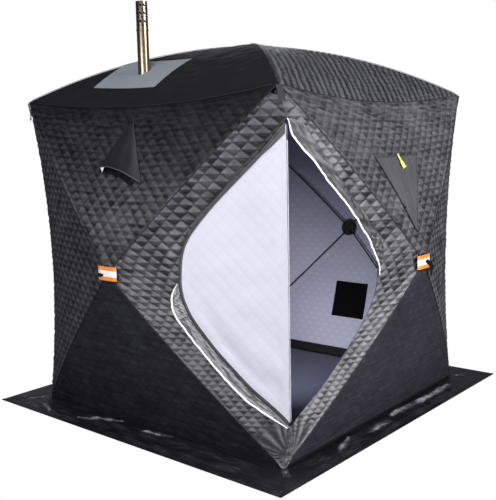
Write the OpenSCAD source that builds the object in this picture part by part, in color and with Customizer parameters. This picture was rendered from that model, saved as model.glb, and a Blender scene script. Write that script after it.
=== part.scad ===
// Pop-up ice fishing hut: quilted cloth panels drawn taut over hubs and bowed poles,
// with a leaf-shaped corner door, a snow skirt and a stove pipe through the roof.

/* [Hut] */
// Half the distance between neighbouring eave corners
eave_half = 900; // [840:10:960]
// Height of the eave corners
eave_h = 1760; // [1680:10:1840]
// Rise of the roof peak over the eave corners
peak_rise = 300; // [240:10:400]
// Draw-in of the ground corners from the eave corners
base_in = 20; // [0:5:60]
// Push-out of the wall hubs past the eave corners
hub_out = 238; // [200:2:280]
// Height of the wall hubs
hub_h = 880; // [820:10:940]
// Thickness of the quilted cloth
wall = 8; // [6:0.5:10]

/* [Curves] */
// Outward bow of the wall seams over their poles
wall_bow = 25; // [15:1:35]
// Upward bow of the roof seams over their poles
roof_bow = 70; // [50:1:90]
// Drop of each eave at mid span
eave_drop = 60; // [30:1:80]
// Inward draw of each eave at mid span
eave_in = 20; // [5:1:35]
// Inward draw of the plain corners at mid height
corner_in = 72; // [40:1:95]
// Share of a corner panel's half width over which its crease is rounded
crease_share = 0.25; // [0.15:0.05:0.4]

/* [Door] */
// Height of the upper point of the doorway
door_top = 1610; // [1560:10:1650]
// Height of the lower point of the doorway
door_foot = 190; // [150:10:240]
// Inward draw of the door fold from the line between the corners
fold_in = 35; // [20:1:50]
// Sideways draw of the door fold toward the right wall
fold_side = 40; // [0:1:60]
// Angle of the doorway's upper edges from the fold
door_upper_deg = 40.5; // [38:0.5:42]
// Angle of the doorway's lower edges from the fold
door_lower_deg = 45.5; // [43:0.5:47]
// Radius of the doorway's rounded sides
door_round = 300; // [260:10:340]
// Gap round the swinging door half
flap_gap = 6; // [5:0.5:10]
// Gap between the folded-back door half and the fixed half
fold_gap = 5; // [5:0.5:8]
// Start of both door halves from the fold
fold_margin = 8; // [7:0.5:12]
// Width of the zip tape round the swinging half
tape_w = 24; // [16:1:32]
// Width of the storm flaps over the zip
storm_w = 58; // [40:1:70]

/* [Frame] */
// Diameter of the poles
pole_d = 11; // [9:0.5:13]
// Radius of the hub body
hub_r = 52; // [48:1:58]
// Thickness of the hub body
hub_t = 30; // [26:1:36]
// Radius of the outer hub cap
cap_r = 44; // [38:1:50]
// Radius of the corner sockets
socket_r = 24; // [22:0.5:28]

/* [Skirt] */
// Reach of the snow skirt past the ground corners
skirt_w = 205; // [150:5:260]
// Thickness of the skirt cloth
skirt_t = 3; // [2:0.5:5]
// Sideways shift of the skirt's tip at the door corner toward the front wall
tip_side = 55; // [0:1:70]

/* [Stove pipe] */
// Place of the pipe along the front eave from the middle
pipe_x = -255; // [-300:5:-200]
// Place of the pipe in from the peak toward the front eave
pipe_y = 600; // [560:10:640]
// Diameter of the pipe
pipe_d = 64; // [54:2:76]
// Rise of the stove pipe's top over the roof peak
pipe_rise = 214; // [180:2:300]
// Length of the slotted top section
slotted_len = 156; // [130:2:220]

/* [Openings] */
// Height of the window's upper edge
window_top = 1423; // [1380:1:1450]
// Height of the window's lower point
window_foot = 1033; // [1010:1:1080]
// Width of the window's upper edge
window_w = 435; // [340:5:450]
// Height of the vent hood's top
hood_top = 1636; // [1600:1:1650]
// Height of the vent hood
hood_h = 277; // [220:1:290]
// Width of the vent hood's mouth
hood_w = 340; // [280:10:360]
// Stand-off of the vent hood's mouth
hood_out = 40; // [30:5:60]
// Lean of the vent hood's mouth, lower on its right
hood_slant = 36; // [0:1:50]
// Rise of the vent hood's mouth at its middle
hood_rise = 33; // [0:1:50]

/* [Hidden] */
$fn = 48;

peak_h = eave_h + peak_rise;
base_half = eave_half - base_in;
pipe_top = peak_h + pipe_rise;
seam_gap = 0.4;
half_gap = seam_gap / 2;
base_z = skirt_t + seam_gap;
eps = 0.1;
long = 4 * eave_half;
hub_y = -(eave_half + hub_out);
T_left = [-eave_half, -eave_half, eave_h];
T_right = [eave_half, -eave_half, eave_h];
B_left = [-base_half, -base_half, base_z];
B_right = [base_half, -base_half, base_z];
hub_a = [0, hub_y, hub_h];
peak = [0, 0, peak_h];
UP = [0, 0, 1];
FRONT = [0, -1, 0];
RIGHT = [1, 0, 0];
DIAG = [sqrt(1 / 2), -sqrt(1 / 2), 0];
SIDE = [sqrt(1 / 2), sqrt(1 / 2), 0];

// Cloth surfaces
function mix(a, b, k) = a + (b - a) * k;
function arch(k) = 4 * k * (1 - k);
function unit(v) = v / norm(v);
function seam(a, b, dir, bow, k) = mix(a, b, k) + dir * bow * arch(k);
// Point at a depth below the outer face; all panels share it along their seams
function deep(p, d) = [
    p.x * (1 - d / eave_half),
    p.y * (1 - d / eave_half),
    base_z + (p.z - base_z) * (1 - d / peak_h)
];
function eave_sag(u) = [0, eave_in, -eave_drop] * arch(u);
function roof_pt(u, v) =
    mix(seam(peak, T_left, UP, roof_bow, v), seam(peak, T_right, UP, roof_bow, v), u)
    + eave_sag(u) * v * v;
function upper_pt(u, v) =
    mix(seam(hub_a, T_left, FRONT, wall_bow, v), seam(hub_a, T_right, FRONT, wall_bow, v), u)
    + eave_sag(u) * v * v;
function lower_pt(u, v) =
    mix(seam(hub_a, B_left, FRONT, wall_bow, v), seam(hub_a, B_right, FRONT, wall_bow, v), u);

hub_share = (eave_h - hub_h) / (eave_h - base_z);
function pole_front(t) = t <= hub_share
    ? seam(T_right, hub_a, FRONT, wall_bow, t / hub_share)
    : seam(hub_a, B_right, FRONT, wall_bow, (t - hub_share) / (1 - hub_share));
function swap(p) = [-p.y, -p.x, p.z];
function pole_right(t) = swap(pole_front(t));
function corner_mid(t) = mix(T_right, B_right, t) - DIAG * corner_in * arch(t);
function crease(s) = (sqrt(s * s + crease_share * crease_share) - crease_share)
    / (sqrt(1 + crease_share * crease_share) - crease_share);
function corner_pt(s, t) = let (m = corner_mid(t), a = pole_front(t) - m, b = pole_right(t) - m)
    m + (a + b) / 2 * crease(s) + (b - a) / 2 * s;

// Closed shell from an outer and an inner grid, rows downward and columns rightward from outside
function flat(g) = [for (r = g) for (p = r) p];
module shell(outer, inner) {
    n = len(outer);
    m = len(outer[0]);
    k = n * m;
    tops = [for (i = [0 : n - 2]) for (j = [0 : m - 2]) let (a = i * m + j)
        each [[a, a + 1, a + m + 1], [a, a + m + 1, a + m]]];
    unders = [for (f = tops) [f[2] + k, f[1] + k, f[0] + k]];
    rim = concat(
        [for (j = [m - 1 : -1 : 1]) j],
        [for (i = [0 : n - 2]) i * m],
        [for (j = [0 : m - 2]) (n - 1) * m + j],
        [for (i = [n - 1 : -1 : 1]) i * m + m - 1]
    );
    c = len(rim);
    sides = [for (q = [0 : c - 1]) let (a = rim[q], b = rim[(q + 1) % c])
        each [[a, b, b + k], [a, b + k, a + k]]];
    polyhedron(concat(flat(outer), flat(inner)), concat(tops, unders, sides));
}
module cloth(grid, d) {
    shell(grid, [for (r = grid) [for (p = r) deep(p, d)]]);
}

// Triangular panels between two poles
hub_hole = 30;
cols = 8;
steps = 10;
hub_hole_share = hub_hole / norm(T_right - hub_a);
roof_hole_share = hub_hole / norm(T_right - peak);
rim_share = half_gap / (eave_h - hub_h);
function edged(j, w) = let (e = half_gap / w) e + (1 - 2 * e) * j / cols;
// Steps along a pole from its hub, the same in both panels that share the seam
function step_at(i, hole) = max(hole, i / steps);
function below_eave(v) = min(v, 1 - rim_share);
roof_grid = [for (i = [0 : steps]) let (v = below_eave(step_at(i, roof_hole_share)))
    [for (j = [0 : cols]) roof_pt(edged(j, v * 2 * eave_half), v)]];
module roof_panel() {
    cloth(roof_grid, wall);
}
module upper_panel() {
    cloth([for (i = [steps : -1 : 0]) let (v = below_eave(step_at(i, hub_hole_share)))
        [for (j = [0 : cols]) upper_pt(edged(j, v * 2 * eave_half), v)]], wall);
}
lower_grid = [for (i = [0 : steps]) let (v = step_at(i, hub_hole_share))
    [for (j = [0 : cols]) lower_pt(edged(j, v * 2 * base_half), v)]];
module lower_panel() {
    cloth(lower_grid, wall);
}
tip_share = 0.022;
notch_share = hub_hole_share * hub_share;
corner_rows = concat(
    [for (i = [steps : -1 : 0]) max(tip_share, hub_share * (1 - step_at(i, hub_hole_share)))],
    [hub_share],
    [for (i = [0 : steps]) min(1 - tip_share, mix(hub_share, 1, step_at(i, hub_hole_share)))]
);
corner_col_shares = [-1, -0.75, -0.5, -0.25, 0, 0.25, 0.5, 0.75, 1];
function corner_reach(t) = let (w = norm(pole_front(t) - corner_mid(t)))
    1 - (t == hub_share ? hub_hole : half_gap) / w;
module corner_panel() {
    cloth([for (t = corner_rows) [for (s = corner_col_shares) corner_pt(s * corner_reach(t), t)]], wall);
}

// Door: two flat halves of a leaf shape that meet at the fold, k = 1 for the front wall's half
// and k = -1 for the right wall's, which is drawn mirrored across the diagonal
function fold_pt(z, k) = mix(T_right, B_right, (eave_h - z) / (eave_h - base_z))
    - DIAG * fold_in + SIDE * fold_side * k;
function fold_head(k) = fold_pt(door_top, k);
function fold_foot(k) = fold_pt(door_foot, k);
fold_len = norm(fold_head(1) - fold_foot(1));
fold_dir = unit(fold_head(1) - fold_foot(1));
function leaf_dir(k) = let (v = hub_a - fold_foot(k)) unit(v - fold_dir * (v * fold_dir));
function leaf_in(k) = cross(leaf_dir(k), fold_dir);
// Leaf outline in the door plane: distance from the fold, height along the fold
upper_tan = tan(door_upper_deg);
lower_tan = tan(door_lower_deg);
round_q = (fold_len * upper_tan - door_round / cos(door_upper_deg) + door_round / cos(door_lower_deg))
    / (upper_tan + lower_tan);
round_p = lower_tan * round_q - door_round / cos(door_lower_deg);
function round_pt(o, deg) = [round_p, round_q] + (door_round - o) * [cos(deg), sin(deg)];
function leaf_head(o) = [0, fold_len - o / sin(door_upper_deg)];
function leaf_foot(o) = [0, o / sin(door_lower_deg)];
function leaf_at(p, k) = fold_foot(k) + leaf_dir(k) * p.x + fold_dir * p.y;
tip_trim = 25;
tuck = 0.05;
module leaf(o, start, t) {
    intersection() {
        union() {
            linear_extrude(t)
                polygon([
                    leaf_head(o), round_pt(o + tuck, door_upper_deg), [round_p, round_q],
                    round_pt(o + tuck, -door_lower_deg), leaf_foot(o)
                ]);
            translate([round_p, round_q, 0])
                cylinder(r = door_round - o, h = t);
        }
        translate([start, tip_trim, -eps])
            cube([2 * long, fold_len - 2 * tip_trim, t + 2 * eps]);
    }
}
module on_door_plane() {
    o = fold_foot(1);
    d = leaf_dir(1);
    n = leaf_in(1);
    multmatrix([
        [d.x, fold_dir.x, n.x, o.x],
        [d.y, fold_dir.y, n.y, o.y],
        [d.z, fold_dir.z, n.z, o.z]
    ])
        children();
}
// Fold axis: half the fold gap outside both door planes
in_front = leaf_in(1);
in_right = swap(leaf_in(-1));
axis_out = (in_front + in_right) * (fold_gap / -2 / (1 + in_front * in_right));
axis_p = axis_out * leaf_dir(1);
fold_r = norm([fold_margin - axis_p, fold_gap / 2]) - seam_gap;

// Doorway surround: rows from the leaf edge out to the pole seam
arc_steps = 14;
line_steps = 5;
edge_out = -0.6;
head_seam_share = 0.08;
foot_seam_share = 0.92;
round_seam_share = notch_share * arc_steps;
head_row_drop = 45;
head_row_share = head_row_drop / (eave_h - door_top);
foot_row_share = 0.75;
// Each row of the edge: point in the door plane, share along the pole, gap at the seam
upper_edge = [for (i = [0 : line_steps - 1])
    [mix(leaf_head(edge_out), round_pt(edge_out, door_upper_deg), i / line_steps),
        mix(head_seam_share, hub_share - round_seam_share / 2, i / line_steps), half_gap]];
round_edge = [for (i = [0 : arc_steps])
    [round_pt(edge_out, mix(door_upper_deg, -door_lower_deg, i / arc_steps)),
        hub_share + (i / arc_steps - 1 / 2) * round_seam_share, i == arc_steps / 2 ? hub_hole : half_gap]];
lower_edge = [for (i = [1 : line_steps])
    [mix(round_pt(edge_out, -door_lower_deg), leaf_foot(edge_out), i / line_steps),
        mix(hub_share + round_seam_share / 2, foot_seam_share, i / line_steps), half_gap]];
edge_rows = concat(upper_edge, round_edge, lower_edge);
edge_fade = 20;
function edge_drop(p, e, k) = mix(deep(p, wall) - p, leaf_in(k) * wall, min(1, e.x / edge_fade));
// Each row of the strip: edge point, thickness vector, seam point, gap share at the edge, gap at the seam
function tip_row(p, t) = let (q = pole_front(t)) [p, deep(p, wall) - p, q, half_gap / norm(q - p), half_gap];
function surround_rows(k) = concat(
    [tip_row(mix(T_right, fold_head(k), head_row_share), tip_share)],
    [for (e = edge_rows) let (p = leaf_at(e[0], k), q = pole_front(e[1]))
        [p, edge_drop(p, e[0], k), q, (e[0].x > 0 ? 0 : half_gap) / norm(q - p), e[2]]],
    [tip_row(mix(fold_foot(k), B_right, foot_row_share), 1 - tip_share)]
);
surround_cols = 4;
function row_share(r, j) = mix(r[3], 1 - r[4] / norm(r[2] - r[0]), j / surround_cols);
function row_pt(r, j) = mix(r[0], r[2], row_share(r, j));
function row_under(r, j) = let (k = row_share(r, j), p = row_pt(r, j))
    p + mix(r[1], deep(r[2], wall) - r[2], k);
module door_surround(k) {
    rows = surround_rows(k);
    shell(
        [for (r = rows) [for (j = [surround_cols : -1 : 0]) row_pt(r, j)]],
        [for (r = rows) [for (j = [surround_cols : -1 : 0]) row_under(r, j)]]
    );
}
storm_t = 2;
storm_cols = 3;
storm_set = 3;
lay_gap = 0.9;
storm_first = 1;
storm_mid = 1 + line_steps + arc_steps / 2;
storm_last = storm_first + line_steps + arc_steps + line_steps;
function storm_pt(r, j, out) = let (s = norm(r[2] - r[0]))
    mix(r[0], r[2], (storm_set + storm_w * j / storm_cols) / s) + out;
module storm_flap(k, first, last) {
    rows = surround_rows(k);
    picked = [for (i = [first : last]) rows[i]];
    under = -leaf_in(k) * lay_gap;
    outer = -leaf_in(k) * (lay_gap + storm_t);
    shell(
        [for (r = picked) [for (j = [storm_cols : -1 : 0]) storm_pt(r, j, outer)]],
        [for (r = picked) [for (j = [storm_cols : -1 : 0]) storm_pt(r, j, under)]]
    );
}
module across_diagonal() {
    rotate([0, 0, 90])
        mirror([1, 0, 0])
            children();
}

// Hubs: slotted body inside the cloth, cap outside, a pin across each slot
slot_w = 17;
pin_r = 3;
pin_at = 34;
tip_r = 7.5;
tip_clear = 2;
pin_sink = 1;
tip_len = 34;
slot_floor = 6;
stem_r = 12;
cap_t = 5;
// Fall of the cloth behind the hub point at the hole's rim, and under the hub body's rim
cap_back = seam(hub_a, T_right, FRONT, wall_bow, hub_hole_share).y - hub_y - seam_gap;
rim_pts = [
    upper_pt(1 / 2, hub_r / (eave_h - hub_h)), lower_pt(1 / 2, hub_r / (hub_h - base_z)),
    corner_pt(-1 + hub_r / norm(hub_a - corner_mid(hub_share)), hub_share),
    for (k = [1, -1]) hub_a + unit(leaf_at([round_p + door_round, round_q], k) - hub_a) * hub_r
];
body_back = max([for (p = rim_pts) deep(p, wall).y]) - hub_y + seam_gap;
pole_plane = body_back + hub_t / 2;
socket_in = 40;
socket_drop = 34;
function inset(p, dz) = [p.x - sign(p.x) * socket_in, p.y - sign(p.y) * socket_in, p.z + dz];
hub_poles_at = [0, hub_y + pole_plane, hub_h];
wall_ends = [
    inset(T_left, -socket_drop), inset(T_right, -socket_drop),
    inset(B_left, socket_drop), inset(B_right, socket_drop)
];
// Direction of a pole in the plane of its hub, the hub facing along its axis
function in_plane(v, axis) = unit(v - axis * (v * axis));
module hub(at, axis, ends, back, depth) {
    spin = [0, acos(axis.z), atan2(axis.y, axis.x)];
    difference() {
        union() {
            translate(at - axis * (depth + hub_t))
                rotate(spin)
                    cylinder(r = hub_r, h = hub_t);
            translate(at - axis * (depth + eps))
                rotate(spin)
                    cylinder(r = stem_r, h = depth - back + 2 * eps);
            translate(at - axis * back)
                rotate(spin)
                    cylinder(r = cap_r, h = cap_t);
        }
        for (e = ends)
            hub_slot(at - axis * (depth + hub_t), axis, in_plane(e - at, axis));
    }
    for (e = ends)
        hub_pin(at - axis * (depth + hub_t / 2), cross(axis, in_plane(e - at, axis)), in_plane(e - at, axis));
}
module hub_slot(at, axis, dir) {
    side = cross(axis, dir);
    o = at + dir * (pin_at - tip_r - tip_clear) - side * slot_w / 2 - axis * eps;
    multmatrix([
        [dir.x, side.x, axis.x, o.x],
        [dir.y, side.y, axis.y, o.y],
        [dir.z, side.z, axis.z, o.z]
    ])
        cube([hub_r, slot_w, hub_t - slot_floor + eps]);
}
module hub_pin(at, side, dir) {
    o = at + dir * pin_at - side * (slot_w / 2 + pin_sink);
    translate(o)
        rotate([0, acos(side.z), atan2(side.y, side.x)])
            cylinder(r = pin_r, h = slot_w + 2 * pin_sink);
}

// Poles: bowed rods with a flattened tip on the hub pin and a straight end in the corner socket
pin_clear = 0.5;
socket_depth = 12;
module pole(hub_at, axis, end, bow) {
    dir = in_plane(end - hub_at, axis);
    a = hub_at + dir * pin_at;
    chord = unit(end - a);
    b = end - chord * (socket_r - socket_depth);
    out = unit(axis - chord * (axis * chord));
    half = norm(b - a) / 2;
    r = (half * half + bow * bow) / (2 * bow);
    turn = asin(half / r);
    side = cross(out, chord);
    o = (a + b) / 2 - out * (r - bow);
    pin_side = cross(axis, dir);
    difference() {
        union() {
            multmatrix([
                [out.x, chord.x, side.x, o.x],
                [out.y, chord.y, side.y, o.y],
                [out.z, chord.z, side.z, o.z]
            ])
                rotate([0, 0, -turn])
                    rotate_extrude(angle = 2 * turn)
                        translate([r, 0])
                            circle(d = pole_d);
            translate(a - dir * tip_r)
                rotate([0, acos(dir.z), atan2(dir.y, dir.x)])
                    cylinder(r = tip_r, h = tip_len);
        }
        translate(a - pin_side * tip_r * 2)
            rotate([0, acos(pin_side.z), atan2(pin_side.y, pin_side.x)])
                cylinder(r = pin_r + pin_clear, h = tip_r * 4);
    }
}
module socket_bore(hub_at, axis, end, bow) {
    dir = in_plane(end - hub_at, axis);
    a = hub_at + dir * pin_at;
    chord = unit(end - a);
    b = end - chord * (socket_r - socket_depth);
    out = unit(axis - chord * (axis * chord));
    half = norm(b - a) / 2;
    turn = asin(2 * half * bow / (half * half + bow * bow));
    back = chord * -cos(turn) + out * sin(turn);
    translate(b - back * seam_gap)
        rotate([0, acos(back.z), atan2(back.y, back.x)])
            cylinder(r = pole_d / 2 + seam_gap, h = socket_r * 2);
}
module wall_pole_set() {
    for (e = wall_ends)
        pole(hub_poles_at, FRONT, e, wall_bow);
}
roof_back = peak_h - seam(peak, T_right, UP, roof_bow, roof_hole_share).z - seam_gap;
roof_depth = peak_h - deep(roof_pt(1 / 2, hub_r / eave_half), wall).z + lay_gap;
roof_poles_at = peak - UP * (roof_depth + hub_t / 2);
eave_end = inset(T_right, -socket_drop);
module eave_socket() {
    difference() {
        translate(eave_end)
            sphere(r = socket_r);
        socket_bore(hub_poles_at, FRONT, eave_end, wall_bow);
        socket_bore(swap(hub_poles_at), RIGHT, eave_end, wall_bow);
        socket_bore(roof_poles_at, UP, eave_end, roof_bow);
    }
}
ground_end = inset(B_right, socket_drop);
module ground_socket() {
    difference() {
        translate(ground_end)
            sphere(r = socket_r);
        socket_bore(hub_poles_at, FRONT, ground_end, wall_bow);
        socket_bore(swap(hub_poles_at), RIGHT, ground_end, wall_bow);
    }
}

// Skirt, flat on the ground: four lengths that meet in seams at the corners
skirt_half = base_half + skirt_w;
skirt_lap = 30;
skirt_inner = base_half - skirt_lap;
skirt_left = [-skirt_half, -skirt_half];
skirt_right = [skirt_half, -skirt_half];
door_tip = skirt_right - [SIDE.x, SIDE.y] * tip_side;
module skirt(left_tip, right_tip) {
    difference() {
        linear_extrude(skirt_t)
            polygon([
                left_tip + [seam_gap, 0], right_tip - [seam_gap, 0],
                [skirt_inner - seam_gap, -skirt_inner], [-skirt_inner + seam_gap, -skirt_inner]
            ]);
        for (side = [0, 90])
            rotate([0, 0, -side])
                at_stake(-eps)
                    cylinder(r = eyelet_r + eyelet_wall + seam_gap, h = skirt_t + 2 * eps);
    }
}
// Stake tabs with a metal eyelet, on the skirt at each ground corner
eyelet_r = 6;
eyelet_wall = 1;
eyelet_rim = 5;
eyelet_t = 1.5;
tab_w = 36;
tab_t = 2.5;
tab_from = 12;
tab_len = 80;
stake_out = 45;
module at_stake(z) {
    rotate([0, 0, -45])
        translate([norm([base_half, base_half]) + stake_out, 0, z])
            children();
}
module stake_tab() {
    at_stake(base_z)
        difference() {
            translate([tab_from - stake_out, -tab_w / 2, 0])
                cube([tab_len, tab_w, tab_t]);
            translate([0, 0, -eps])
                cylinder(r = eyelet_r + eyelet_wall + seam_gap, h = tab_t + 2 * eps);
        }
}
module stake_eyelet() {
    at_stake(base_z)
        difference() {
            union() {
                cylinder(r = eyelet_r + eyelet_wall, h = tab_t + seam_gap + eyelet_t);
                translate([0, 0, tab_t + seam_gap])
                    cylinder(r = eyelet_r + eyelet_rim, h = eyelet_t);
            }
            translate([0, 0, -eps])
                cylinder(r = eyelet_r, h = tab_t + seam_gap + eyelet_t + 2 * eps);
        }
}

// Webbing tabs down from the eave corners, one with a ring
eave_tab_w = 30;
eave_tab_t = 2.5;
eave_tab_shares = [0.004, 0.013, 0.022, 0.031, 0.04];
ring_r = 16;
ring_wire_r = 2.5;
ring_out = 4;
function corner_path(plain, t) = plain
    ? corner_mid(t)
    : mix(T_right, fold_head(1), t * (eave_h - base_z) / (eave_h - door_top));
module eave_tab(plain) {
    rows = [for (t = eave_tab_shares) corner_path(plain, t)];
    ends = [-eave_tab_w / 2, eave_tab_w / 2];
    shell(
        [for (p = rows) [for (x = ends) p + SIDE * x + DIAG * (lay_gap + eave_tab_t)]],
        [for (p = rows) [for (x = ends) p + SIDE * x + DIAG * lay_gap]]
    );
}
module tab_ring() {
    low = corner_path(true, eave_tab_shares[len(eave_tab_shares) - 1]);
    translate(low + DIAG * ring_out - UP * (ring_r + ring_wire_r + seam_gap))
        rotate([90, 0, 45])
            rotate_extrude()
                translate([ring_r, 0])
                    circle(r = ring_wire_r);
}

// Pull strap across each wall hub's cap
strap_w = 132;
strap_h = 70;
strap_t = 3;
strap_fall = 4;
strap_bend = 4;
module pull_strap() {
    flat_out = cap_t - cap_back + seam_gap;
    ins = [
        [-strap_w / 2, hub_y + strap_fall], [-cap_r - strap_bend, hub_y - flat_out],
        [cap_r + strap_bend, hub_y - flat_out], [strap_w / 2, hub_y + strap_fall]
    ];
    outs = [for (i = [3 : -1 : 0]) ins[i] - [0, strap_t]];
    translate([0, 0, hub_h - strap_h / 2])
        linear_extrude(strap_h)
            polygon(concat(ins, outs));
}

// Stove jack and pipe
pipe_r = pipe_d / 2;
pipe_wall = 1.5;
jack_t = 2.5;
jack_len = 480;
jack_wide = 290;
jack_mid = [-5, -10];
jack_collar_t = 14;
jack_collar_w = 14;
pipe_hole_clear = 20;
pipe_hole_r = pipe_r + pipe_hole_clear;
pipe_foot = roof_pt(1 / 2 + pipe_x / (2 * pipe_y), pipe_y / eave_half);
pipe_below = 90;
cap_joint = 8;
cap_bead = 2;
cap_bead_h = 9;
slot_rows = 6;
slots_round = 9;
slot_len = 15;
slot_wide = 8;
slot_tilt = 35;
slot_cut = 12;
slot_from = 28;
module pipe_axis(z) {
    translate([pipe_foot.x, pipe_foot.y, z])
        children();
}
module jack_patch() {
    intersection() {
        shell(
            [for (r = roof_grid) [for (p = r) p + UP * (jack_t + seam_gap)]],
            [for (r = roof_grid) [for (p = r) p + UP * seam_gap]]
        );
        pipe_axis(eave_h - eave_drop)
            translate(jack_mid - [jack_len, jack_wide] / 2)
                cube([jack_len, jack_wide, peak_h - eave_h + eave_drop + roof_bow]);
    }
}

// Openings
window_edge = 0.6;
window_mid = -44;
window_lean = 24;
module window_prism(o) {
    translate([0, -eave_half / 2, 0])
        rotate([90, 0, 0])
            linear_extrude(eave_half)
                polygon([
                    [window_mid - window_w / 2 + 2 * o, window_top - o],
                    [window_mid + window_w / 2 - 2 * o, window_top - o],
                    [window_mid + window_lean, window_foot + 3 * o]
                ]);
}
// Share up the wall at which the sagging cloth passes a given height
turns = 6;
function across_share(x, v) = 1 / 2 + x / (2 * v * eave_half);
function up_share(x, z, v, n) = n == 0
    ? v
    : up_share(x, z, (z - hub_h + eave_drop * arch(across_share(x, v)) * v * v) / (eave_h - hub_h), n - 1);
function on_upper(x, z) = let (v = up_share(x, z, (z - hub_h) / (eave_h - hub_h), turns))
    upper_pt(across_share(x, v), v);
hood_rows = 6;
hood_cols = 6;
hood_t = 4;
hood_mid = -5;
hood_tip_share = 0.08;
vent_r = 50;
vent_share = 0.62;
vent_z = hood_top - hood_h * vent_share;
function hood_drop(a) = hood_h + hood_slant * a - hood_rise * (1 - a * a);
function hood_pt(i, j, d) = let (b = mix(hood_tip_share, 1, i / hood_rows), a = 2 * j / hood_cols - 1)
    on_upper(hood_mid + a * hood_w / 2 * b, hood_top - hood_drop(a) * b)
    + FRONT * (seam_gap + d + hood_out * b * (1 - a * a));
// Storage pocket on the inner face of the back wall
pocket_mid = -60;
pocket_w = 256;
pocket_top = 500;
pocket_foot = 262;
pocket_t = 5;
module pocket() {
    intersection() {
        shell(
            [for (r = lower_grid) [for (p = r) deep(p, wall) - FRONT * seam_gap]],
            [for (r = lower_grid) [for (p = r) deep(p, wall) - FRONT * (seam_gap + pocket_t)]]
        );
        translate([pocket_mid - pocket_w / 2, hub_y, pocket_foot])
            cube([pocket_w, -hub_y, pocket_top - pocket_foot]);
    }
}

// Placed pieces
module front_roof_panel() color("dimgray") difference() {
    roof_panel();
    pipe_axis(eave_h)
        cylinder(r = pipe_hole_r, h = peak_h - eave_h + roof_bow);
}
module right_roof_panel() color("dimgray") rotate([0, 0, 90]) roof_panel();
module back_roof_panel() color("dimgray") rotate([0, 0, 180]) roof_panel();
module left_roof_panel() color("dimgray") rotate([0, 0, 270]) roof_panel();
module front_upper_panel() color("dimgray") difference() {
    upper_panel();
    translate([hood_mid, -eave_half / 2, vent_z])
        rotate([90, 0, 0])
            cylinder(r = vent_r, h = eave_half);
}
module right_upper_panel() color("dimgray") rotate([0, 0, 90]) difference() {
    upper_panel();
    window_prism(0);
}
module back_upper_panel() color("dimgray") rotate([0, 0, 180]) upper_panel();
module left_upper_panel() color("dimgray") rotate([0, 0, 270]) upper_panel();
module front_lower_panel() color("gray") lower_panel();
module right_lower_panel() color("gray") rotate([0, 0, 90]) lower_panel();
module back_lower_panel() color("gray") rotate([0, 0, 180]) lower_panel();
module left_lower_panel() color("gray") rotate([0, 0, 270]) lower_panel();
module right_corner_panel() color("darkgray") rotate([0, 0, 90]) corner_panel();
module back_corner_panel() color("darkgray") rotate([0, 0, 180]) corner_panel();
module left_corner_panel() color("darkgray") rotate([0, 0, 270]) corner_panel();
module door_surround_front() color("darkgray") door_surround(1);
module door_surround_right() color("darkgray") across_diagonal() door_surround(-1);
module door_fixed_half() color("slategray") on_door_plane() leaf(seam_gap, fold_margin, wall);
module door_fold() color("lightgray")
    translate(fold_foot(1) + axis_out + fold_dir * tip_trim * 2)
        rotate([0, acos(fold_dir.z), atan2(fold_dir.y, fold_dir.x)])
            cylinder(r = fold_r, h = fold_len - 4 * tip_trim);
module door_flap() color("white")
    on_door_plane()
        translate([0, 0, -fold_gap - wall])
            leaf(flap_gap, fold_margin, wall);
module door_zip_tape() color("gray")
    on_door_plane()
        translate([0, 0, -fold_gap - wall - storm_t - seam_gap])
            difference() {
                leaf(flap_gap, fold_margin, storm_t);
                translate([0, 0, -storm_t])
                    leaf(flap_gap + tape_w, -long, storm_t * 3);
            }
module storm_flap_upper() color("gray") across_diagonal() storm_flap(-1, storm_first, storm_mid);
module storm_flap_lower() color("gray") storm_flap(1, storm_mid, storm_last);
module wall_hubs() color("orange")
    for (i = [0 : 3])
        rotate([0, 0, 90 * i])
            hub(hub_a, FRONT, wall_ends, cap_back, body_back);
module roof_hub() color("orange")
    hub(peak, UP, [for (e = [1, -1]) for (f = [1, -1]) [e * eave_half, f * eave_half, eave_h]],
        roof_back, roof_depth);
module wall_poles() color("silver")
    for (i = [0 : 3])
        rotate([0, 0, 90 * i])
            wall_pole_set();
module roof_poles() color("silver")
    for (i = [0 : 3])
        rotate([0, 0, 90 * i])
            pole(roof_poles_at, UP, eave_end, roof_bow);
module eave_sockets() color("black")
    for (i = [0 : 3])
        rotate([0, 0, 90 * i])
            eave_socket();
module ground_sockets() color("black")
    for (i = [0 : 3])
        rotate([0, 0, 90 * i])
            ground_socket();
module front_skirt() color("black") skirt(skirt_left, door_tip);
module right_skirt() color("black") rotate([0, 0, 90]) skirt([door_tip.y, -door_tip.x], skirt_right);
module back_skirt() color("black") rotate([0, 0, 180]) skirt(skirt_left, skirt_right);
module left_skirt() color("black") rotate([0, 0, 270]) skirt(skirt_left, skirt_right);
module pull_straps() color("coral")
    for (i = [0 : 3])
        rotate([0, 0, 90 * i])
            pull_strap();
module eave_tabs() color("black") {
    eave_tab(false);
    for (i = [1 : 3])
        rotate([0, 0, 90 * i])
            eave_tab(true);
}
module eave_ring() color("silver") rotate([0, 0, 270]) tab_ring();
module stake_tabs() color("black")
    for (i = [0 : 3])
        rotate([0, 0, 90 * i])
            stake_tab();
module stake_eyelets() color("silver")
    for (i = [0 : 3])
        rotate([0, 0, 90 * i])
            stake_eyelet();
module stove_jack() color("lightslategray") difference() {
    union() {
        jack_patch();
        pipe_axis(pipe_foot.z + jack_t)
            cylinder(r = pipe_r + jack_collar_w, h = jack_collar_t);
    }
    pipe_axis(eave_h)
        cylinder(r = pipe_r + seam_gap, h = peak_h - eave_h + roof_bow);
}
module stove_pipe() color("rosybrown") pipe_axis(0) difference() {
    translate([0, 0, pipe_foot.z - pipe_below])
        cylinder(d = pipe_d, h = pipe_top - slotted_len - pipe_foot.z + pipe_below);
    translate([0, 0, pipe_foot.z - pipe_below - eps])
        cylinder(r = pipe_r - pipe_wall, h = pipe_top);
}
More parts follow.
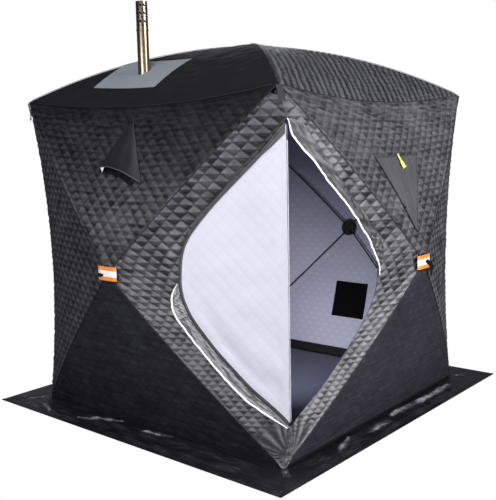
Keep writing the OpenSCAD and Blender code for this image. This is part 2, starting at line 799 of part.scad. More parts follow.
module pipe_cap() color("rosybrown") pipe_axis(pipe_top - slotted_len) difference() {
    union() {
        translate([0, 0, seam_gap])
            cylinder(d = pipe_d, h = slotted_len - seam_gap);
        translate([0, 0, seam_gap])
            cylinder(r = pipe_r + cap_bead, h = cap_bead_h);
        translate([0, 0, -cap_joint])
            cylinder(r = pipe_r - pipe_wall - seam_gap, h = slotted_len);
    }
    for (i = [0 : slot_rows - 1])
        for (j = [0 : slots_round - 1])
            rotate([0, 0, (j + i / 2) * 360 / slots_round])
                translate([pipe_r, 0, slot_from + i * (slotted_len - slot_from) / slot_rows])
                    rotate([slot_tilt, 0, 0])
                        cube([slot_cut, slot_wide, slot_len], center = true);
    translate([0, 0, -cap_joint - eps])
        cylinder(r = pipe_r - 2 * pipe_wall - seam_gap, h = slotted_len + cap_joint - pipe_wall + eps);
}
module vent_hood() color("dimgray") shell(
    [for (i = [0 : hood_rows]) [for (j = [0 : hood_cols]) hood_pt(i, j, hood_t)]],
    [for (i = [0 : hood_rows]) [for (j = [0 : hood_cols]) hood_pt(i, j, 0)]]
);
module window_cover() color("dimgray") rotate([0, 0, 90]) intersection() {
    upper_panel();
    window_prism(window_edge);
}
module storage_pocket() color("black") rotate([0, 0, 180]) pocket();

front_roof_panel();
right_roof_panel();
back_roof_panel();
left_roof_panel();
front_upper_panel();
right_upper_panel();
back_upper_panel();
left_upper_panel();
front_lower_panel();
right_lower_panel();
back_lower_panel();
left_lower_panel();
left_corner_panel();
back_corner_panel();
right_corner_panel();
door_surround_front();
door_surround_right();
door_fixed_half();
door_fold();
door_flap();
door_zip_tape();
storm_flap_upper();
storm_flap_lower();
wall_hubs();
roof_hub();
wall_poles();
roof_poles();
eave_sockets();
ground_sockets();
front_skirt();
right_skirt();
back_skirt();
left_skirt();
stove_jack();
stove_pipe();
pipe_cap();
vent_hood();
window_cover();
storage_pocket();
pull_straps();
eave_tabs();
eave_ring();
stake_tabs();
stake_eyelets();
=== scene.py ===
import math

import bpy
import numpy as np
from mathutils import Matrix, Vector
from mathutils.bvhtree import BVHTree
from mathutils.geometry import delaunay_2d_cdt


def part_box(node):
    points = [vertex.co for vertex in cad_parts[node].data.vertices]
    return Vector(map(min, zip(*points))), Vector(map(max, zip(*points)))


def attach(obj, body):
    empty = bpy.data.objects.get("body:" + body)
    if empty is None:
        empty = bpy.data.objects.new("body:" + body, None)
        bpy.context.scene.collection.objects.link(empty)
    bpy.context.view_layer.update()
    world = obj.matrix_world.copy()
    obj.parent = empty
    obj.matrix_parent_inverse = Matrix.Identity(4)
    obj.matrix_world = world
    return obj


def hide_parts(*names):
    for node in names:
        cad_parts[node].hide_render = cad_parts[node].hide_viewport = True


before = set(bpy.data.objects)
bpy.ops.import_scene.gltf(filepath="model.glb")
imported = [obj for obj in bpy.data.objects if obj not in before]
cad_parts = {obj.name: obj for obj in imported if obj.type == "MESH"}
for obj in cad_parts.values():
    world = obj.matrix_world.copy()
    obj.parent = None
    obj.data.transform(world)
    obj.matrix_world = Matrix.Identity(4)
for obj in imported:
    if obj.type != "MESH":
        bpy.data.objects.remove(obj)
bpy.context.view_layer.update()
HUT = "hut"
LEAF = "door_leaf"
SIDES = ["front", "right", "back", "left"]

# Sizes of the hut, in metres
EAVE_HALF, EAVE_H, PEAK_H = 0.9, 1.76, 2.06
BASE_HALF, BASE_Z = 0.88, 0.0034
HUB_OUT, HUB_H, WALL = 0.238, 0.88, 0.008
WALL_BOW, ROOF_BOW, EAVE_DROP, EAVE_IN = 0.025, 0.07, 0.06, 0.02
CORNER_IN, CREASE = 0.072, 0.25
DOOR_TOP, DOOR_FOOT, FOLD_IN, FOLD_SIDE = 1.61, 0.19, 0.035, 0.04
UPPER, LOWER, ROUND_R = math.radians(40.5), math.radians(45.5), 0.3
FLAP_GAP, FIXED_GAP, TAPE_W = 0.006, 0.0004, 0.014
FOLD_MARGIN, FOLD_EDGE, FOLD_END, FOLD_R = 0.008, 0.002, 0.0255, 0.0024
UPPER_SWELL, LOWER_SWELL = 0.037, 0.024
STORM_SET, STORM_W = 0.003, 0.058
HUB_HOLE, SEAM_GAP, EDGE = 0.030, 0.0002, 0.0006
SKIRT, SKIRT_UNDER, TIP_SHIFT = 1.085, 0.030, 0.055
SKIRT_TOP, SKIRT_LOW, SEAM_W, SEAM_Z = 0.0029, 0.0003, 0.014, 0.0034
PIPE, PIPE_HOLE, JACK_HOLE = (-0.255, -0.600), 0.052, 0.034
QUILT = (0.070, 0.036)
# Ends of the corner cloth, as shares of the way from eave to foot
HEAD_SHARE, FOOT_SHARE = 0.022, 0.978
# Rows of the doorway's strips along its round and along each straight edge
ARC_ROWS, EDGE_ROWS = 14, 5
HEAD_ROW, ROUND_ROW = 1, 1 + EDGE_ROWS
MID_ROW, LOW_ROW = ROUND_ROW + ARC_ROWS // 2, ROUND_ROW + ARC_ROWS
FOOT_ROW = LOW_ROW + EDGE_ROWS
# Places inside the hut, from which walls and roof face outward
ROOM, UNDER_ROOF = (0, 0, 0.9), (0, 0, 1.2)

UP = np.array([0.0, 0, 1])
OUT = np.array([0.0, -1, 0])
DIAG = np.array([math.sqrt(0.5), -math.sqrt(0.5), 0])
SIDE = np.array([math.sqrt(0.5), math.sqrt(0.5), 0])
PEAK = np.array([0, 0, PEAK_H])
HUB = np.array([0, -(EAVE_HALF + HUB_OUT), HUB_H])
TL, TR = np.array([-EAVE_HALF, -EAVE_HALF, EAVE_H]), np.array([EAVE_HALF, -EAVE_HALF, EAVE_H])
BL, BR = np.array([-BASE_HALF, -BASE_HALF, BASE_Z]), np.array([BASE_HALF, -BASE_HALF, BASE_Z])


# Points and lines
def col(k):
    return np.asarray(k, float)[..., None]


def mix(a, b, k):
    return a + (b - a) * col(k)


def arch(k):
    return 4 * k * (1 - k)


def fade(x, a, b):
    """Smooth step from 0 at a to 1 at b."""
    t = np.clip((x - a) / (b - a), 0, 1)
    return t * t * (3 - 2 * t)


def hill(x, a, b, c, d):
    """Smooth rise from a to b, and fall from c to d."""
    return fade(x, a, b) * (1 - fade(x, c, d))


def norms(v):
    return np.linalg.norm(v, axis=1)


def unit(v):
    return v / norms(v)[:, None]


def arc_len(p):
    return norms(np.diff(p, axis=0)).sum()


def run(p):
    """Distance along a line, at each of its points."""
    return np.r_[0, np.cumsum(norms(np.diff(p, axis=0)))]


def smooth_line(points, steps):
    """Points at even steps along the corners of a line."""
    points = np.asarray(points, float)
    f = np.linspace(0, len(points) - 1, steps)
    return np.stack([np.interp(f, range(len(points)), x) for x in points.T], 1)


def tri_area(p):
    """Area of triangles, from their corners."""
    return float(norms(np.cross(p[:, 1] - p[:, 0], p[:, 2] - p[:, 0])).sum() / 2)


def turn(p, quarter):
    for _ in range(quarter):
        p = np.stack([-p[..., 1], p[..., 0], p[..., 2]], -1)
    return p


def swap(p):
    """Mirror from the front wall's half of the door corner to the right wall's."""
    return np.stack([-p[..., 1], -p[..., 0], p[..., 2]], -1)


# Cloth surfaces, the same as the part's
def seam(a, b, way, bow, k):
    return mix(a, b, k) + col(bow * arch(k)) * way


def deep(p, d):
    """Points at a depth d inside the cloth."""
    return np.stack([
        p[:, 0] * (1 - d / EAVE_HALF),
        p[:, 1] * (1 - d / EAVE_HALF),
        BASE_Z + (p[:, 2] - BASE_Z) * (1 - d / PEAK_H),
    ], 1)


def fan(apex, left, right, way, bow, sags):
    def point(u, v):
        p = mix(seam(apex, left, way, bow, v), seam(apex, right, way, bow, v), u)
        if sags:
            p = p + col(arch(u) * v * v) * np.array([0, EAVE_IN, -EAVE_DROP])
        return p
    return point


roof_pt = fan(PEAK, TL, TR, UP, ROOF_BOW, True)
upper_pt = fan(HUB, TL, TR, OUT, WALL_BOW, True)
lower_pt = fan(HUB, BL, BR, OUT, WALL_BOW, False)
HUB_SHARE = (EAVE_H - HUB_H) / (EAVE_H - BASE_Z)
CORNER_LEN = EAVE_H - BASE_Z
NOTCH = HUB_HOLE / np.linalg.norm(TR - HUB) * HUB_SHARE


def pole_front(t):
    t = np.asarray(t, float)
    above = seam(TR, HUB, OUT, WALL_BOW, np.clip(t / HUB_SHARE, 0, 1))
    below = seam(HUB, BR, OUT, WALL_BOW, np.clip((t - HUB_SHARE) / (1 - HUB_SHARE), 0, 1))
    return np.where(col(t <= HUB_SHARE), above, below)


def corner_mid(t):
    return mix(TR, BR, t) - col(CORNER_IN * arch(t)) * DIAG


def corner_half(t):
    return norms(pole_front(t) - corner_mid(t))


def corner_pt(s, t):
    m = corner_mid(t)
    a, b = pole_front(t) - m, swap(pole_front(t)) - m
    crease = (np.sqrt(s * s + CREASE ** 2) - CREASE) / (math.sqrt(1 + CREASE ** 2) - CREASE)
    return m + (a + b) / 2 * col(crease) + (b - a) / 2 * col(s)


# Door plane, k = 1 for the front wall's half and -1 for the right wall's, mirrored
def fold_pt(z, k):
    t = (EAVE_H - z) / CORNER_LEN
    return TR + (BR - TR) * t - DIAG * FOLD_IN + SIDE * FOLD_SIDE * k


FOLD_LEN = np.linalg.norm(fold_pt(DOOR_TOP, 1) - fold_pt(DOOR_FOOT, 1))
FOLD_DIR = (fold_pt(DOOR_TOP, 1) - fold_pt(DOOR_FOOT, 1)) / FOLD_LEN
ROUND_Q = (FOLD_LEN * math.tan(UPPER) - ROUND_R / math.cos(UPPER) + ROUND_R / math.cos(LOWER)) / (
    math.tan(UPPER) + math.tan(LOWER))
ROUND_P = math.tan(LOWER) * ROUND_Q - ROUND_R / math.cos(LOWER)
FLANK = (FOLD_LEN - ROUND_Q - ROUND_R * math.sin(UPPER)) / math.cos(UPPER)
LOW_FLANK = (ROUND_Q - ROUND_R * math.sin(LOWER)) / math.cos(LOWER)
OUTLINE = FLANK + ROUND_R * (UPPER + LOWER) + LOW_FLANK


def leaf_axes(k):
    v = HUB - fold_pt(DOOR_FOOT, k)
    d = v - FOLD_DIR * (v @ FOLD_DIR)
    d /= np.linalg.norm(d)
    return fold_pt(DOOR_FOOT, k), d, np.cross(d, FOLD_DIR)


def leaf_at(pq, k, out=0.0):
    foot, d, n = leaf_axes(k)
    return foot + col(pq[..., 0]) * d + col(pq[..., 1]) * FOLD_DIR - col(np.zeros(len(pq)) + out) * n


def belly(share, arc, low):
    """Swell of the cloth leaf past its straight edges, by share of the upper edge, angle of the round and share
    of the lower edge."""
    t = (share * FLANK + (UPPER - arc) * ROUND_R + low * LOW_FLANK) / OUTLINE
    swell = UPPER_SWELL * hill(t, 0.05, 0.33, 0.37, 0.51) + LOWER_SWELL * hill(t, 0.58, 0.76, 0.84, 0.99)
    return np.stack([swell * np.cos(arc), swell * np.sin(arc)], -1)


def straight_outline(o, arc, upper, lower):
    """Edge of the leaf from head to foot, drawn in by o, with shares of its two straight edges."""
    ring = np.stack([ROUND_P + (ROUND_R - o) * np.cos(arc), ROUND_Q + (ROUND_R - o) * np.sin(arc)], 1)
    head, foot = np.array([0, FOLD_LEN - o / math.sin(UPPER)]), np.array([0, o / math.sin(LOWER)])
    return np.vstack([mix(head, ring[0], upper), ring, mix(ring[-1], foot, lower)])


def leaf_outline(o, steps):
    """Edge of the cloth leaf from its head to its foot, drawn in by o."""
    arc = np.linspace(UPPER, -LOWER, steps)
    share, none, full = np.linspace(0, 1, steps), np.zeros(steps), np.ones(steps)
    return straight_outline(o, arc, share[:-1], share[1:]) + belly(
        np.r_[share[:-1], full, full[1:]], np.r_[full[1:] * UPPER, arc, -full[1:] * LOWER],
        np.r_[none[1:], none, share[1:]])


def surround_rows(k):
    """Ends of the rows that lead from the leaf's edge to the pole seam."""
    span = NOTCH * ARC_ROWS
    above = np.arange(EDGE_ROWS) / EDGE_ROWS
    below = np.arange(1, EDGE_ROWS + 1) / EDGE_ROWS
    round_share = np.arange(ARC_ROWS + 1) / ARC_ROWS
    edge = leaf_at(straight_outline(-EDGE, UPPER + (-LOWER - UPPER) * round_share, above, below), k)
    first, last = HUB_SHARE - span / 2, HUB_SHARE + span / 2
    share = np.r_[0.08 + (first - 0.08) * above, HUB_SHARE + (round_share - 0.5) * span, last + (0.92 - last) * below]
    top = mix(TR, fold_pt(DOOR_TOP, k), 0.3)
    low = mix(fold_pt(DOOR_FOOT, k), BR, 0.75)
    return np.vstack([top, edge, low]), pole_front(np.r_[HEAD_SHARE, share, FOOT_SHARE])


def swollen(k, rows):
    """Shift of the doorway's edge at places counted in rows, where the cloth leaf swells."""
    arc = UPPER - (UPPER + LOWER) * np.clip((rows - ROUND_ROW) / ARC_ROWS, 0, 1)
    pq = belly(np.clip((rows - HEAD_ROW) / EDGE_ROWS, 0, 1), arc, np.clip((rows - LOW_ROW) / EDGE_ROWS, 0, 1))
    return col(pq[:, 0]) * leaf_axes(k)[1] + col(pq[:, 1]) * FOLD_DIR


def fine_rows(k, first, last, steps):
    """Places between two rows, with the points on the straight edge and on the pole."""
    edge, pole = surround_rows(k)
    r = np.linspace(first, last, (last - first) * steps + 1)
    i = np.minimum(r.astype(int), len(edge) - 2)
    return r, mix(edge[i], edge[i + 1], r - i), mix(pole[i], pole[i + 1], r - i)


# Meshes
def waves(p, scale, seed, n=14, stretch=(1, 1)):
    """Smooth random heights from about -1 to 1."""
    r = np.random.default_rng(seed)
    k = r.normal(size=(n, p.shape[1])) / scale / np.array(stretch[:p.shape[1]])
    return np.sin(p @ k.T * 6.283 + r.uniform(0, 6.283, n)).sum(1) / math.sqrt(n)


def make(name, verts, tris, mats, index, sharp=None, **values):
    mesh = bpy.data.meshes.new(name)
    mesh.vertices.add(len(verts))
    mesh.vertices.foreach_set("co", np.asarray(verts, np.float32).ravel())
    mesh.loops.add(len(tris) * 3)
    mesh.loops.foreach_set("vertex_index", np.asarray(tris, np.int32).ravel())
    mesh.polygons.add(len(tris))
    mesh.polygons.foreach_set("loop_start", np.arange(0, len(tris) * 3, 3, dtype=np.int32))
    mesh.polygons.foreach_set("material_index", np.asarray(index, np.int32))
    mesh.update(calc_edges=True)
    mesh.polygons.foreach_set("use_smooth", np.ones(len(tris), bool))
    if sharp is not None:
        e = np.zeros(len(mesh.edges) * 2, np.int32)
        mesh.edges.foreach_get("vertices", e)
        e = e.reshape(-1, 2)
        a = mesh.attributes.new("sharp_edge", "BOOLEAN", "EDGE")
        a.data.foreach_set("value", (sharp[e[:, 0]] > 0) & (sharp[e[:, 0]] == sharp[e[:, 1]]))
    for key, v in values.items():
        a = mesh.attributes.new(key, "FLOAT", "POINT")
        a.data.foreach_set("value", np.asarray(v, np.float32))
    o = bpy.data.objects.new(name, mesh)
    bpy.context.scene.collection.objects.link(o)
    for m in mats:
        mesh.materials.append(m)
    return o


def placed(o, slot=None, node=None, body=HUT):
    """Sets the body that a piece rides on and hides the CAD node that it replaces; slot is not used."""
    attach(o, body)
    if node:
        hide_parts(node)
    return o


def inside(p, loop):
    """Even-odd test of points against a closed loop."""
    hit = np.zeros(len(p), bool)
    for (x0, y0), (x1, y1) in zip(loop, np.roll(loop, -1, 0)):
        if y0 != y1:
            cut = (y0 > p[:, 1]) != (y1 > p[:, 1])
            hit ^= cut & (p[:, 0] < x0 + (p[:, 1] - y0) * (x1 - x0) / (y1 - y0))
    return hit


def within(p, loops):
    """Points in the first loop and in none of the others."""
    keep = inside(p, loops[0])
    for h in loops[1:]:
        keep &= ~inside(p, h)
    return keep


def resample(loop, step):
    out = []
    for a, b in zip(loop, np.roll(loop, -1, 0)):
        n = max(1, int(round(np.linalg.norm(b - a) / step)))
        out += [a + (b - a) * i / n for i in range(n)]
    return np.array(out)


def near(p, loop):
    """Distance from each point to a closed loop."""
    d = np.full(len(p), 9.0)
    for s, e in zip(loop, np.roll(loop, -1, 0)):
        w = e - s
        t = np.clip(((p - s) @ w) / max(w @ w, 1e-12), 0, 1)
        d = np.minimum(d, np.hypot(*(p - s - np.outer(t, w)).T))
    return d


def triangulate(loops, n, cell=QUILT):
    """Triangles over the domain in the first loop, less the others, on a lattice of n steps a cell."""
    lo, hi = loops[0].min(0), loops[0].max(0)
    b = np.arange(math.floor(lo[1] / cell[1] * n) - 1, math.ceil(hi[1] / cell[1] * n) + 2) / n
    reach = (hi[0] - lo[0]) / cell[0] + (b[-1] - b[0]) / 2 + 2
    first = math.floor((lo[0] / cell[0] - b[-1] / 2) * n) / n
    a = first + np.arange(int(reach * n) + 2) / n
    aa, bb = np.meshgrid(a, b)
    p = np.stack([(aa + bb / 2).ravel() * cell[0], bb.ravel() * cell[1]], 1)
    p = p[(p[:, 0] > lo[0]) & (p[:, 0] < hi[0]) & (p[:, 1] > lo[1]) & (p[:, 1] < hi[1])]
    p = p[within(p, loops)]
    gap = 0.45 * cell[1] / n
    for h in loops:
        p = p[near(p, h) > gap]
    pts, edges = [], []
    for h in loops:
        k = len(pts)
        pts += [tuple(v) for v in h]
        edges += [(k + i, k + (i + 1) % len(h)) for i in range(len(h))]
    pts += [tuple(v) for v in p]
    found = delaunay_2d_cdt([Vector(v) for v in pts], edges, [], 0, 1e-7, False)
    v = np.array([tuple(q) for q in found[0]])
    t = np.array([f for f in found[2] if len(f) == 3])
    t = t[within(v[t].mean(1), loops)]
    d = v[t]
    area = np.cross(d[:, 1] - d[:, 0], d[:, 2] - d[:, 0])
    t[area < 0] = t[area < 0][:, ::-1]
    return v, t[np.abs(area) > 1e-12]


def rim_of(t):
    """Directed edges that only one triangle uses."""
    e = np.vstack([t[:, [0, 1]], t[:, [1, 2]], t[:, [2, 0]]])
    k = e[:, 0].astype(np.int64) * 10 ** 7 + e[:, 1]
    r = e[:, 1].astype(np.int64) * 10 ** 7 + e[:, 0]
    return e[~np.isin(k, r)]


def quilt(xy, up=1):
    """Diamonds between two slants of stitching: rise from the stitches 0 to 1, place up the diamond, random share."""
    a = xy[:, 0] / QUILT[0] + xy[:, 1] / QUILT[1] / 2
    b = xy[:, 0] / QUILT[0] - xy[:, 1] / QUILT[1] / 2
    ia, ib = np.floor(a), np.floor(b)
    fa, fb = a - ia, b - ib
    r = np.sin(ia * 12.9898 + ib * 78.233) * 43758.5453
    e = np.minimum(np.minimum(fa, 1 - fa), np.minimum(fb, 1 - fb))
    return fade(e, -0.03, 0.13), (fa - fb) * up, r - np.floor(r)


def normals(to3d, xy):
    e = 0.0005
    dx = to3d(xy + [e, 0]) - to3d(xy - [e, 0])
    dy = to3d(xy + [0, e]) - to3d(xy - [0, e])
    return unit(np.cross(dx, dy))


def shell(name, loops, to3d, outer, inner, mats, n=5, n_in=2, hollow=ROOM):
    """Closed cloth panel: outer and inner give each face's points from the domain, the surface and its normal."""
    loops = [resample(h, QUILT[0] / n * 0.8) for h in loops]
    v, t = triangulate(loops, n)
    w, s = triangulate(loops, n_in)
    pv, nv = to3d(v), normals(to3d, v)
    pw, nw = to3d(w), normals(to3d, w)
    if ((pv - hollow) * nv).sum(1).mean() < 0:
        nv, nw, t, s = -nv, -nw, t[:, ::-1], s[:, ::-1]
    po, puff_o = outer(v, pv, nv, np.min([near(v, h) for h in loops], 0))
    pi, puff_i = inner(w, pw, nw, np.min([near(w, h) for h in loops], 0))

    def key(p):
        return round(p[0] * 1e6), round(p[1] * 1e6)
    place = {key(p): i for i, p in enumerate(w)}
    rim, k = rim_of(t), len(v)
    sides = []
    for a, b in rim:
        ia, ib = place.get(key(v[a])), place.get(key(v[b]))
        if ia is not None and ib is not None:
            sides += [(b, a, k + ia), (b, k + ia, k + ib)]
    sides = np.array(sides)
    index = np.r_[np.zeros(len(t)), np.ones(len(s)), np.zeros(len(sides))]
    sharp = np.zeros(len(v) + len(w), np.int8)
    sharp[rim.ravel()] = 1
    sharp[np.unique(sides[sides >= k])] = 2
    return make(name, np.vstack([po, pi]), np.vstack([t, s[:, ::-1] + k, sides]), mats, index, sharp,
                puff=np.r_[puff_o, puff_i])


def two_layers(name, top, low, t, mat, puff, flip=False):
    """Closed sheet whose two layers share their triangles and are joined along the rim."""
    rim, k = rim_of(t), len(top)
    a, b = rim.T
    sides = np.vstack([np.stack([b, a, a + k], 1), np.stack([b, a + k, b + k], 1)])
    tris = np.vstack([t, t[:, ::-1] + k, sides])
    sharp = np.zeros(2 * k, np.int8)
    sharp[rim.ravel()] = 1
    sharp[rim.ravel() + k] = 2
    return make(name, np.vstack([top, low]), tris[:, ::-1] if flip else tris, [mat], np.zeros(len(tris)), sharp,
                puff=puff)


def grid_tris(rows, cols):
    a = (np.arange(rows - 1)[:, None] * cols + np.arange(cols - 1)).ravel()
    return np.stack([a, a + 1, a + cols + 1, a, a + cols + 1, a + cols], 1).reshape(-1, 3)


# Materials
def material(name):
    m = bpy.data.materials.new(name)
    m.use_nodes = True
    t = m.node_tree
    return m, t, t.nodes["Principled BSDF"]


def wire(node, **settings):
    """Sets a node's inputs and options; an output that is given for an input is linked to it."""
    for key, v in settings.items():
        name = key.replace("_", " ")
        if name not in node.inputs:
            setattr(node, key, v)
        elif isinstance(v, bpy.types.NodeSocket):
            node.id_data.links.new(v, node.inputs[name])
        else:
            node.inputs[name].default_value = v
    return node


def add(tree, kind, **settings):
    return wire(tree.nodes.new(kind), **settings)


def ramp(tree, fac, stops):
    n = add(tree, "ShaderNodeValToRGB", Fac=fac)
    while len(n.color_ramp.elements) < len(stops):
        n.color_ramp.elements.new(0.5)
    for e, (p, c) in zip(n.color_ramp.elements, stops):
        e.position = p
        e.color = (*c, 1)
    return n.outputs["Color"]


def grey(v):
    return (v, v, v)


def grey_ramp(tree, fac, low, high, start=0.3, end=0.7):
    return ramp(tree, fac, [(start, grey(low)), (end, grey(high))])


def own_place(tree):
    return add(tree, "ShaderNodeTexCoord").outputs["Object"]


def noise(tree, scale, detail=4.0, stretch=(1, 1, 1)):
    m = add(tree, "ShaderNodeMapping", Vector=own_place(tree), Scale=stretch)
    n = add(tree, "ShaderNodeTexNoise", Vector=m.outputs["Vector"], Scale=scale, Detail=detail, Roughness=0.55)
    return n.outputs["Fac"]


def share_of(tree, value, low, high):
    return add(tree, "ShaderNodeMapRange", Value=value, From_Min=low, From_Max=high).outputs["Result"]


def height(tree, low, high):
    """Height on the object, as a share of the way from low to high."""
    return share_of(tree, add(tree, "ShaderNodeSeparateXYZ", Vector=own_place(tree)).outputs["Z"], low, high)


def multiply(tree, a, b):
    n = add(tree, "ShaderNodeMix", data_type="RGBA", blend_type="MULTIPLY", Factor=1)
    tree.links.new(a, n.inputs[6])
    tree.links.new(b, n.inputs[7])
    return n.outputs[2]


def bump(tree, bsdf, relief, strength, distance):
    n = add(tree, "ShaderNodeBump", Strength=strength, Distance=distance, Height=relief)
    wire(bsdf, Normal=n.outputs["Normal"])


def cloth(name, valley, top, rough=0.5, spread=0.25, weave=0.25, specular=0.5, hem=None, shade_under_eave=None):
    """Woven cloth whose colour runs from valley to top with its tone attribute, mostly painted light and shade of the
    padding, with patchy tone and a fine weave.
    """
    m, t, b = material(name)
    # Tone attribute: painted shade in stitch valleys and creases, painted light on pillow tops and raised folds
    puff = add(t, "ShaderNodeAttribute", attribute_name="puff")
    tone = ramp(t, puff.outputs["Fac"], [(0.0, valley), (1.0, top)])
    tone = multiply(t, tone, grey_ramp(t, noise(t, 2.3, 6.0), 1 - spread, 1 + spread, 0.25, 0.75))
    if hem:
        stops = [(0.0, grey(0.02)), (hem, grey(0.02)), (hem + 0.003, grey(1.0))]
        tone = multiply(t, tone, ramp(t, height(t, 0.0, 1.0), stops))
    # Painted shade: darker toward the top of the wall, under the eave
    if shade_under_eave:
        stops = [(0.0, grey(1.0)), (0.45, grey(0.42)), (0.8, grey(0.2)), (1.0, grey(0.06))]
        tone = multiply(t, tone, ramp(t, height(t, *shade_under_eave), stops))
    wire(b, Base_Color=tone, Roughness=grey_ramp(t, noise(t, 9.0), rough - 0.07, rough + 0.08),
         Specular_IOR_Level=specular)
    bump(t, b, noise(t, 420.0, 2.0), weave, 0.0006)
    return m


def metal(name, colours, rough, stretch, scale, bore=None):
    """Brushed metal; a bore, given by its axis and radius, is darker inside."""
    m, t, b = material(name)
    streaks = noise(t, scale, 5.0, stretch)
    colour = ramp(t, streaks, list(zip((0.3, 0.55, 0.75), colours)))
    gloss = grey_ramp(t, noise(t, scale / 3, 3.0, stretch), rough - 0.06, rough + 0.1)
    if bore:
        v = add(t, "ShaderNodeVectorMath", operation="MULTIPLY_ADD", Vector=own_place(t))
        v.inputs[1].default_value = (1, 1, 0)
        v.inputs[2].default_value = (-bore[0], -bore[1], 0)
        g = add(t, "ShaderNodeVectorMath", operation="LENGTH", Vector=v.outputs["Vector"])
        bore_dark = grey_ramp(t, share_of(t, g.outputs["Value"], bore[2] - 0.0006, bore[2]), 0.01, 1.0, 0.0, 1.0)
        colour = multiply(t, colour, bore_dark)
    wire(b, Base_Color=colour, Roughness=gloss, Metallic=1.0)
    bump(t, b, streaks, 0.12, 0.0005)
    return m


def plastic(name, dark, light, rough, scale=30.0):
    m, t, b = material(name)
    wire(b, Base_Color=ramp(t, noise(t, scale, 5.0), [(0.3, dark), (0.7, light)]),
         Roughness=grey_ramp(t, noise(t, scale * 3, 3.0), rough - 0.06, rough + 0.08))
    bump(t, b, noise(t, scale * 12, 2.0), 0.08, 0.0004)
    return m


def strap_bands(half=0.036):
    """Orange and white bands across the hubs' straps."""
    m, t, b = material("strap_bands")
    orange, white = (0.68, 0.22, 0.045), (0.72, 0.72, 0.72)
    bands = ramp(t, height(t, HUB_H - half, HUB_H + half),
                 [(0.0, orange), (0.27, orange), (0.30, white), (0.70, white), (0.73, orange)])
    wire(b, Base_Color=multiply(t, bands, grey_ramp(t, noise(t, 60.0), 0.85, 1.05)),
         Roughness=grey_ramp(t, noise(t, 40.0), 0.5, 0.65))
    bump(t, b, noise(t, 500.0, 2.0), 0.4, 0.0006)
    return m


SHELL = cloth("shell_cloth", (0.006, 0.006, 0.008), (0.086, 0.086, 0.093), specular=0.4)
# Front upper wall: painted shade under the eave
SHELL_FRONT = cloth("shell_front", (0.004, 0.004, 0.005), (0.088, 0.088, 0.095), specular=0.22, shade_under_eave=(1.15, 1.72))
# Darker copy of the shell cloth for the front roof: painted shade
SHELL_ROOF = cloth("shell_roof_smooth", (0.0026, 0.0026, 0.0034), (0.0036, 0.0036, 0.0046), 0.7, specular=0.16)
# Ridged roofs: near-black valley to light top, carrying painted shade and light from the ridge lines
SHELL_RIDGE = cloth("shell_ridged", (0.001, 0.001, 0.0014), (0.086, 0.088, 0.094), specular=0.3)
# Darker copy of the shell cloth for the left corner: painted shade
SHELL_SIDE = cloth("shell_side", (0.006, 0.006, 0.008), (0.046, 0.046, 0.052))
# Darker, bluer copy for the lower walls, which face down: painted shade
SHELL_LOW = cloth("shell_low", (0.003, 0.003, 0.006), (0.018, 0.018, 0.026), 0.58, specular=0.3)
# Lighter copy for the lower right wall: painted light
SHELL_LOW_RIGHT = cloth("shell_low_right", (0.012, 0.0115, 0.018), (0.032, 0.031, 0.043), 0.55, specular=0.35)
STRIP = cloth("strip_cloth", (0.003, 0.003, 0.006), (0.068, 0.066, 0.078), 0.48)
# Lighter copy of the strip cloth for the right door strip: painted light
STRIP_RIGHT = cloth("strip_right_cloth", (0.003, 0.003, 0.007), (0.130, 0.126, 0.141), 0.48)
LINING, LINING_HEM = (cloth(name, (0.40, 0.40, 0.49), (0.46, 0.46, 0.56), 0.7, 0.06, specular=0.2, hem=hem)
                      for name, hem in (("lining_cloth", None), ("lining_hem", 0.055)))
WHITE = cloth("white_cloth", (0.42, 0.415, 0.475), (0.47, 0.465, 0.53), 0.6, 0.04, specular=0.25)
STORM = cloth("storm_cloth", (0.02, 0.02, 0.025), (0.10, 0.10, 0.11), 0.4)
# Lighter copy of the storm cloth for the lower flap: painted sheen
STORM_LIT = cloth("storm_lit", (0.055, 0.055, 0.062), (0.27, 0.27, 0.285), 0.4)
BINDING = cloth("binding_tape", (0.026, 0.026, 0.033), (0.062, 0.061, 0.072), 0.6, weave=0.5)
WEBBING = cloth("black_webbing", (0.008, 0.008, 0.01), (0.02, 0.02, 0.022), 0.65, weave=0.6)
LOOP = cloth("loop_webbing", (0.002, 0.002, 0.0025), (0.006, 0.006, 0.007), 0.7, weave=0.6, specular=0.15)
FLAT = cloth("plain_cloth", (0.020, 0.020, 0.023), (0.052, 0.052, 0.057), 0.55, weave=0.35)
HOOD = cloth("hood_cloth", (0.0062, 0.006, 0.0074), (0.018, 0.018, 0.02), weave=0.35, specular=0.26)
# Skirt cloth: its light top colour is the painted highlight on the creases
SKIRTING = cloth("skirt_cloth", (0.005, 0.005, 0.007), (0.27, 0.27, 0.29), 0.45, specular=0.22)
JACK = cloth("jack_cloth", (0.150, 0.168, 0.187), (0.170, 0.191, 0.211), 0.75, 0.05, 0.4)
PIPING = cloth("white_piping", (0.7, 0.7, 0.7), (0.8, 0.8, 0.8), spread=0.05)
PULL = cloth("yellow_pull", (0.55, 0.62, 0.12), (0.68, 0.74, 0.2), spread=0.06)
STEEL = metal("pipe_steel", [(0.13, 0.105, 0.07), (0.27, 0.225, 0.165), (0.40, 0.35, 0.28)], 0.31, (1, 1, 0.04), 90.0,
              bore=(-0.255, -0.5927, 0.0312))
BRIGHT = metal("bright_steel", [(0.4, 0.4, 0.41), (0.55, 0.55, 0.56), (0.68, 0.68, 0.68)], 0.3, (1, 1, 1), 40.0)
MOULDED = plastic("hub_plastic", (0.006, 0.006, 0.007), (0.014, 0.014, 0.015), 0.45)
POCKET = cloth("pocket_cloth", (0.0016, 0.0016, 0.002), (0.003, 0.003, 0.004), 0.8, specular=0.08)
ROD = plastic("pole_rod", (0.004, 0.004, 0.005), (0.009, 0.009, 0.01), 0.5)
STRAP = strap_bands()


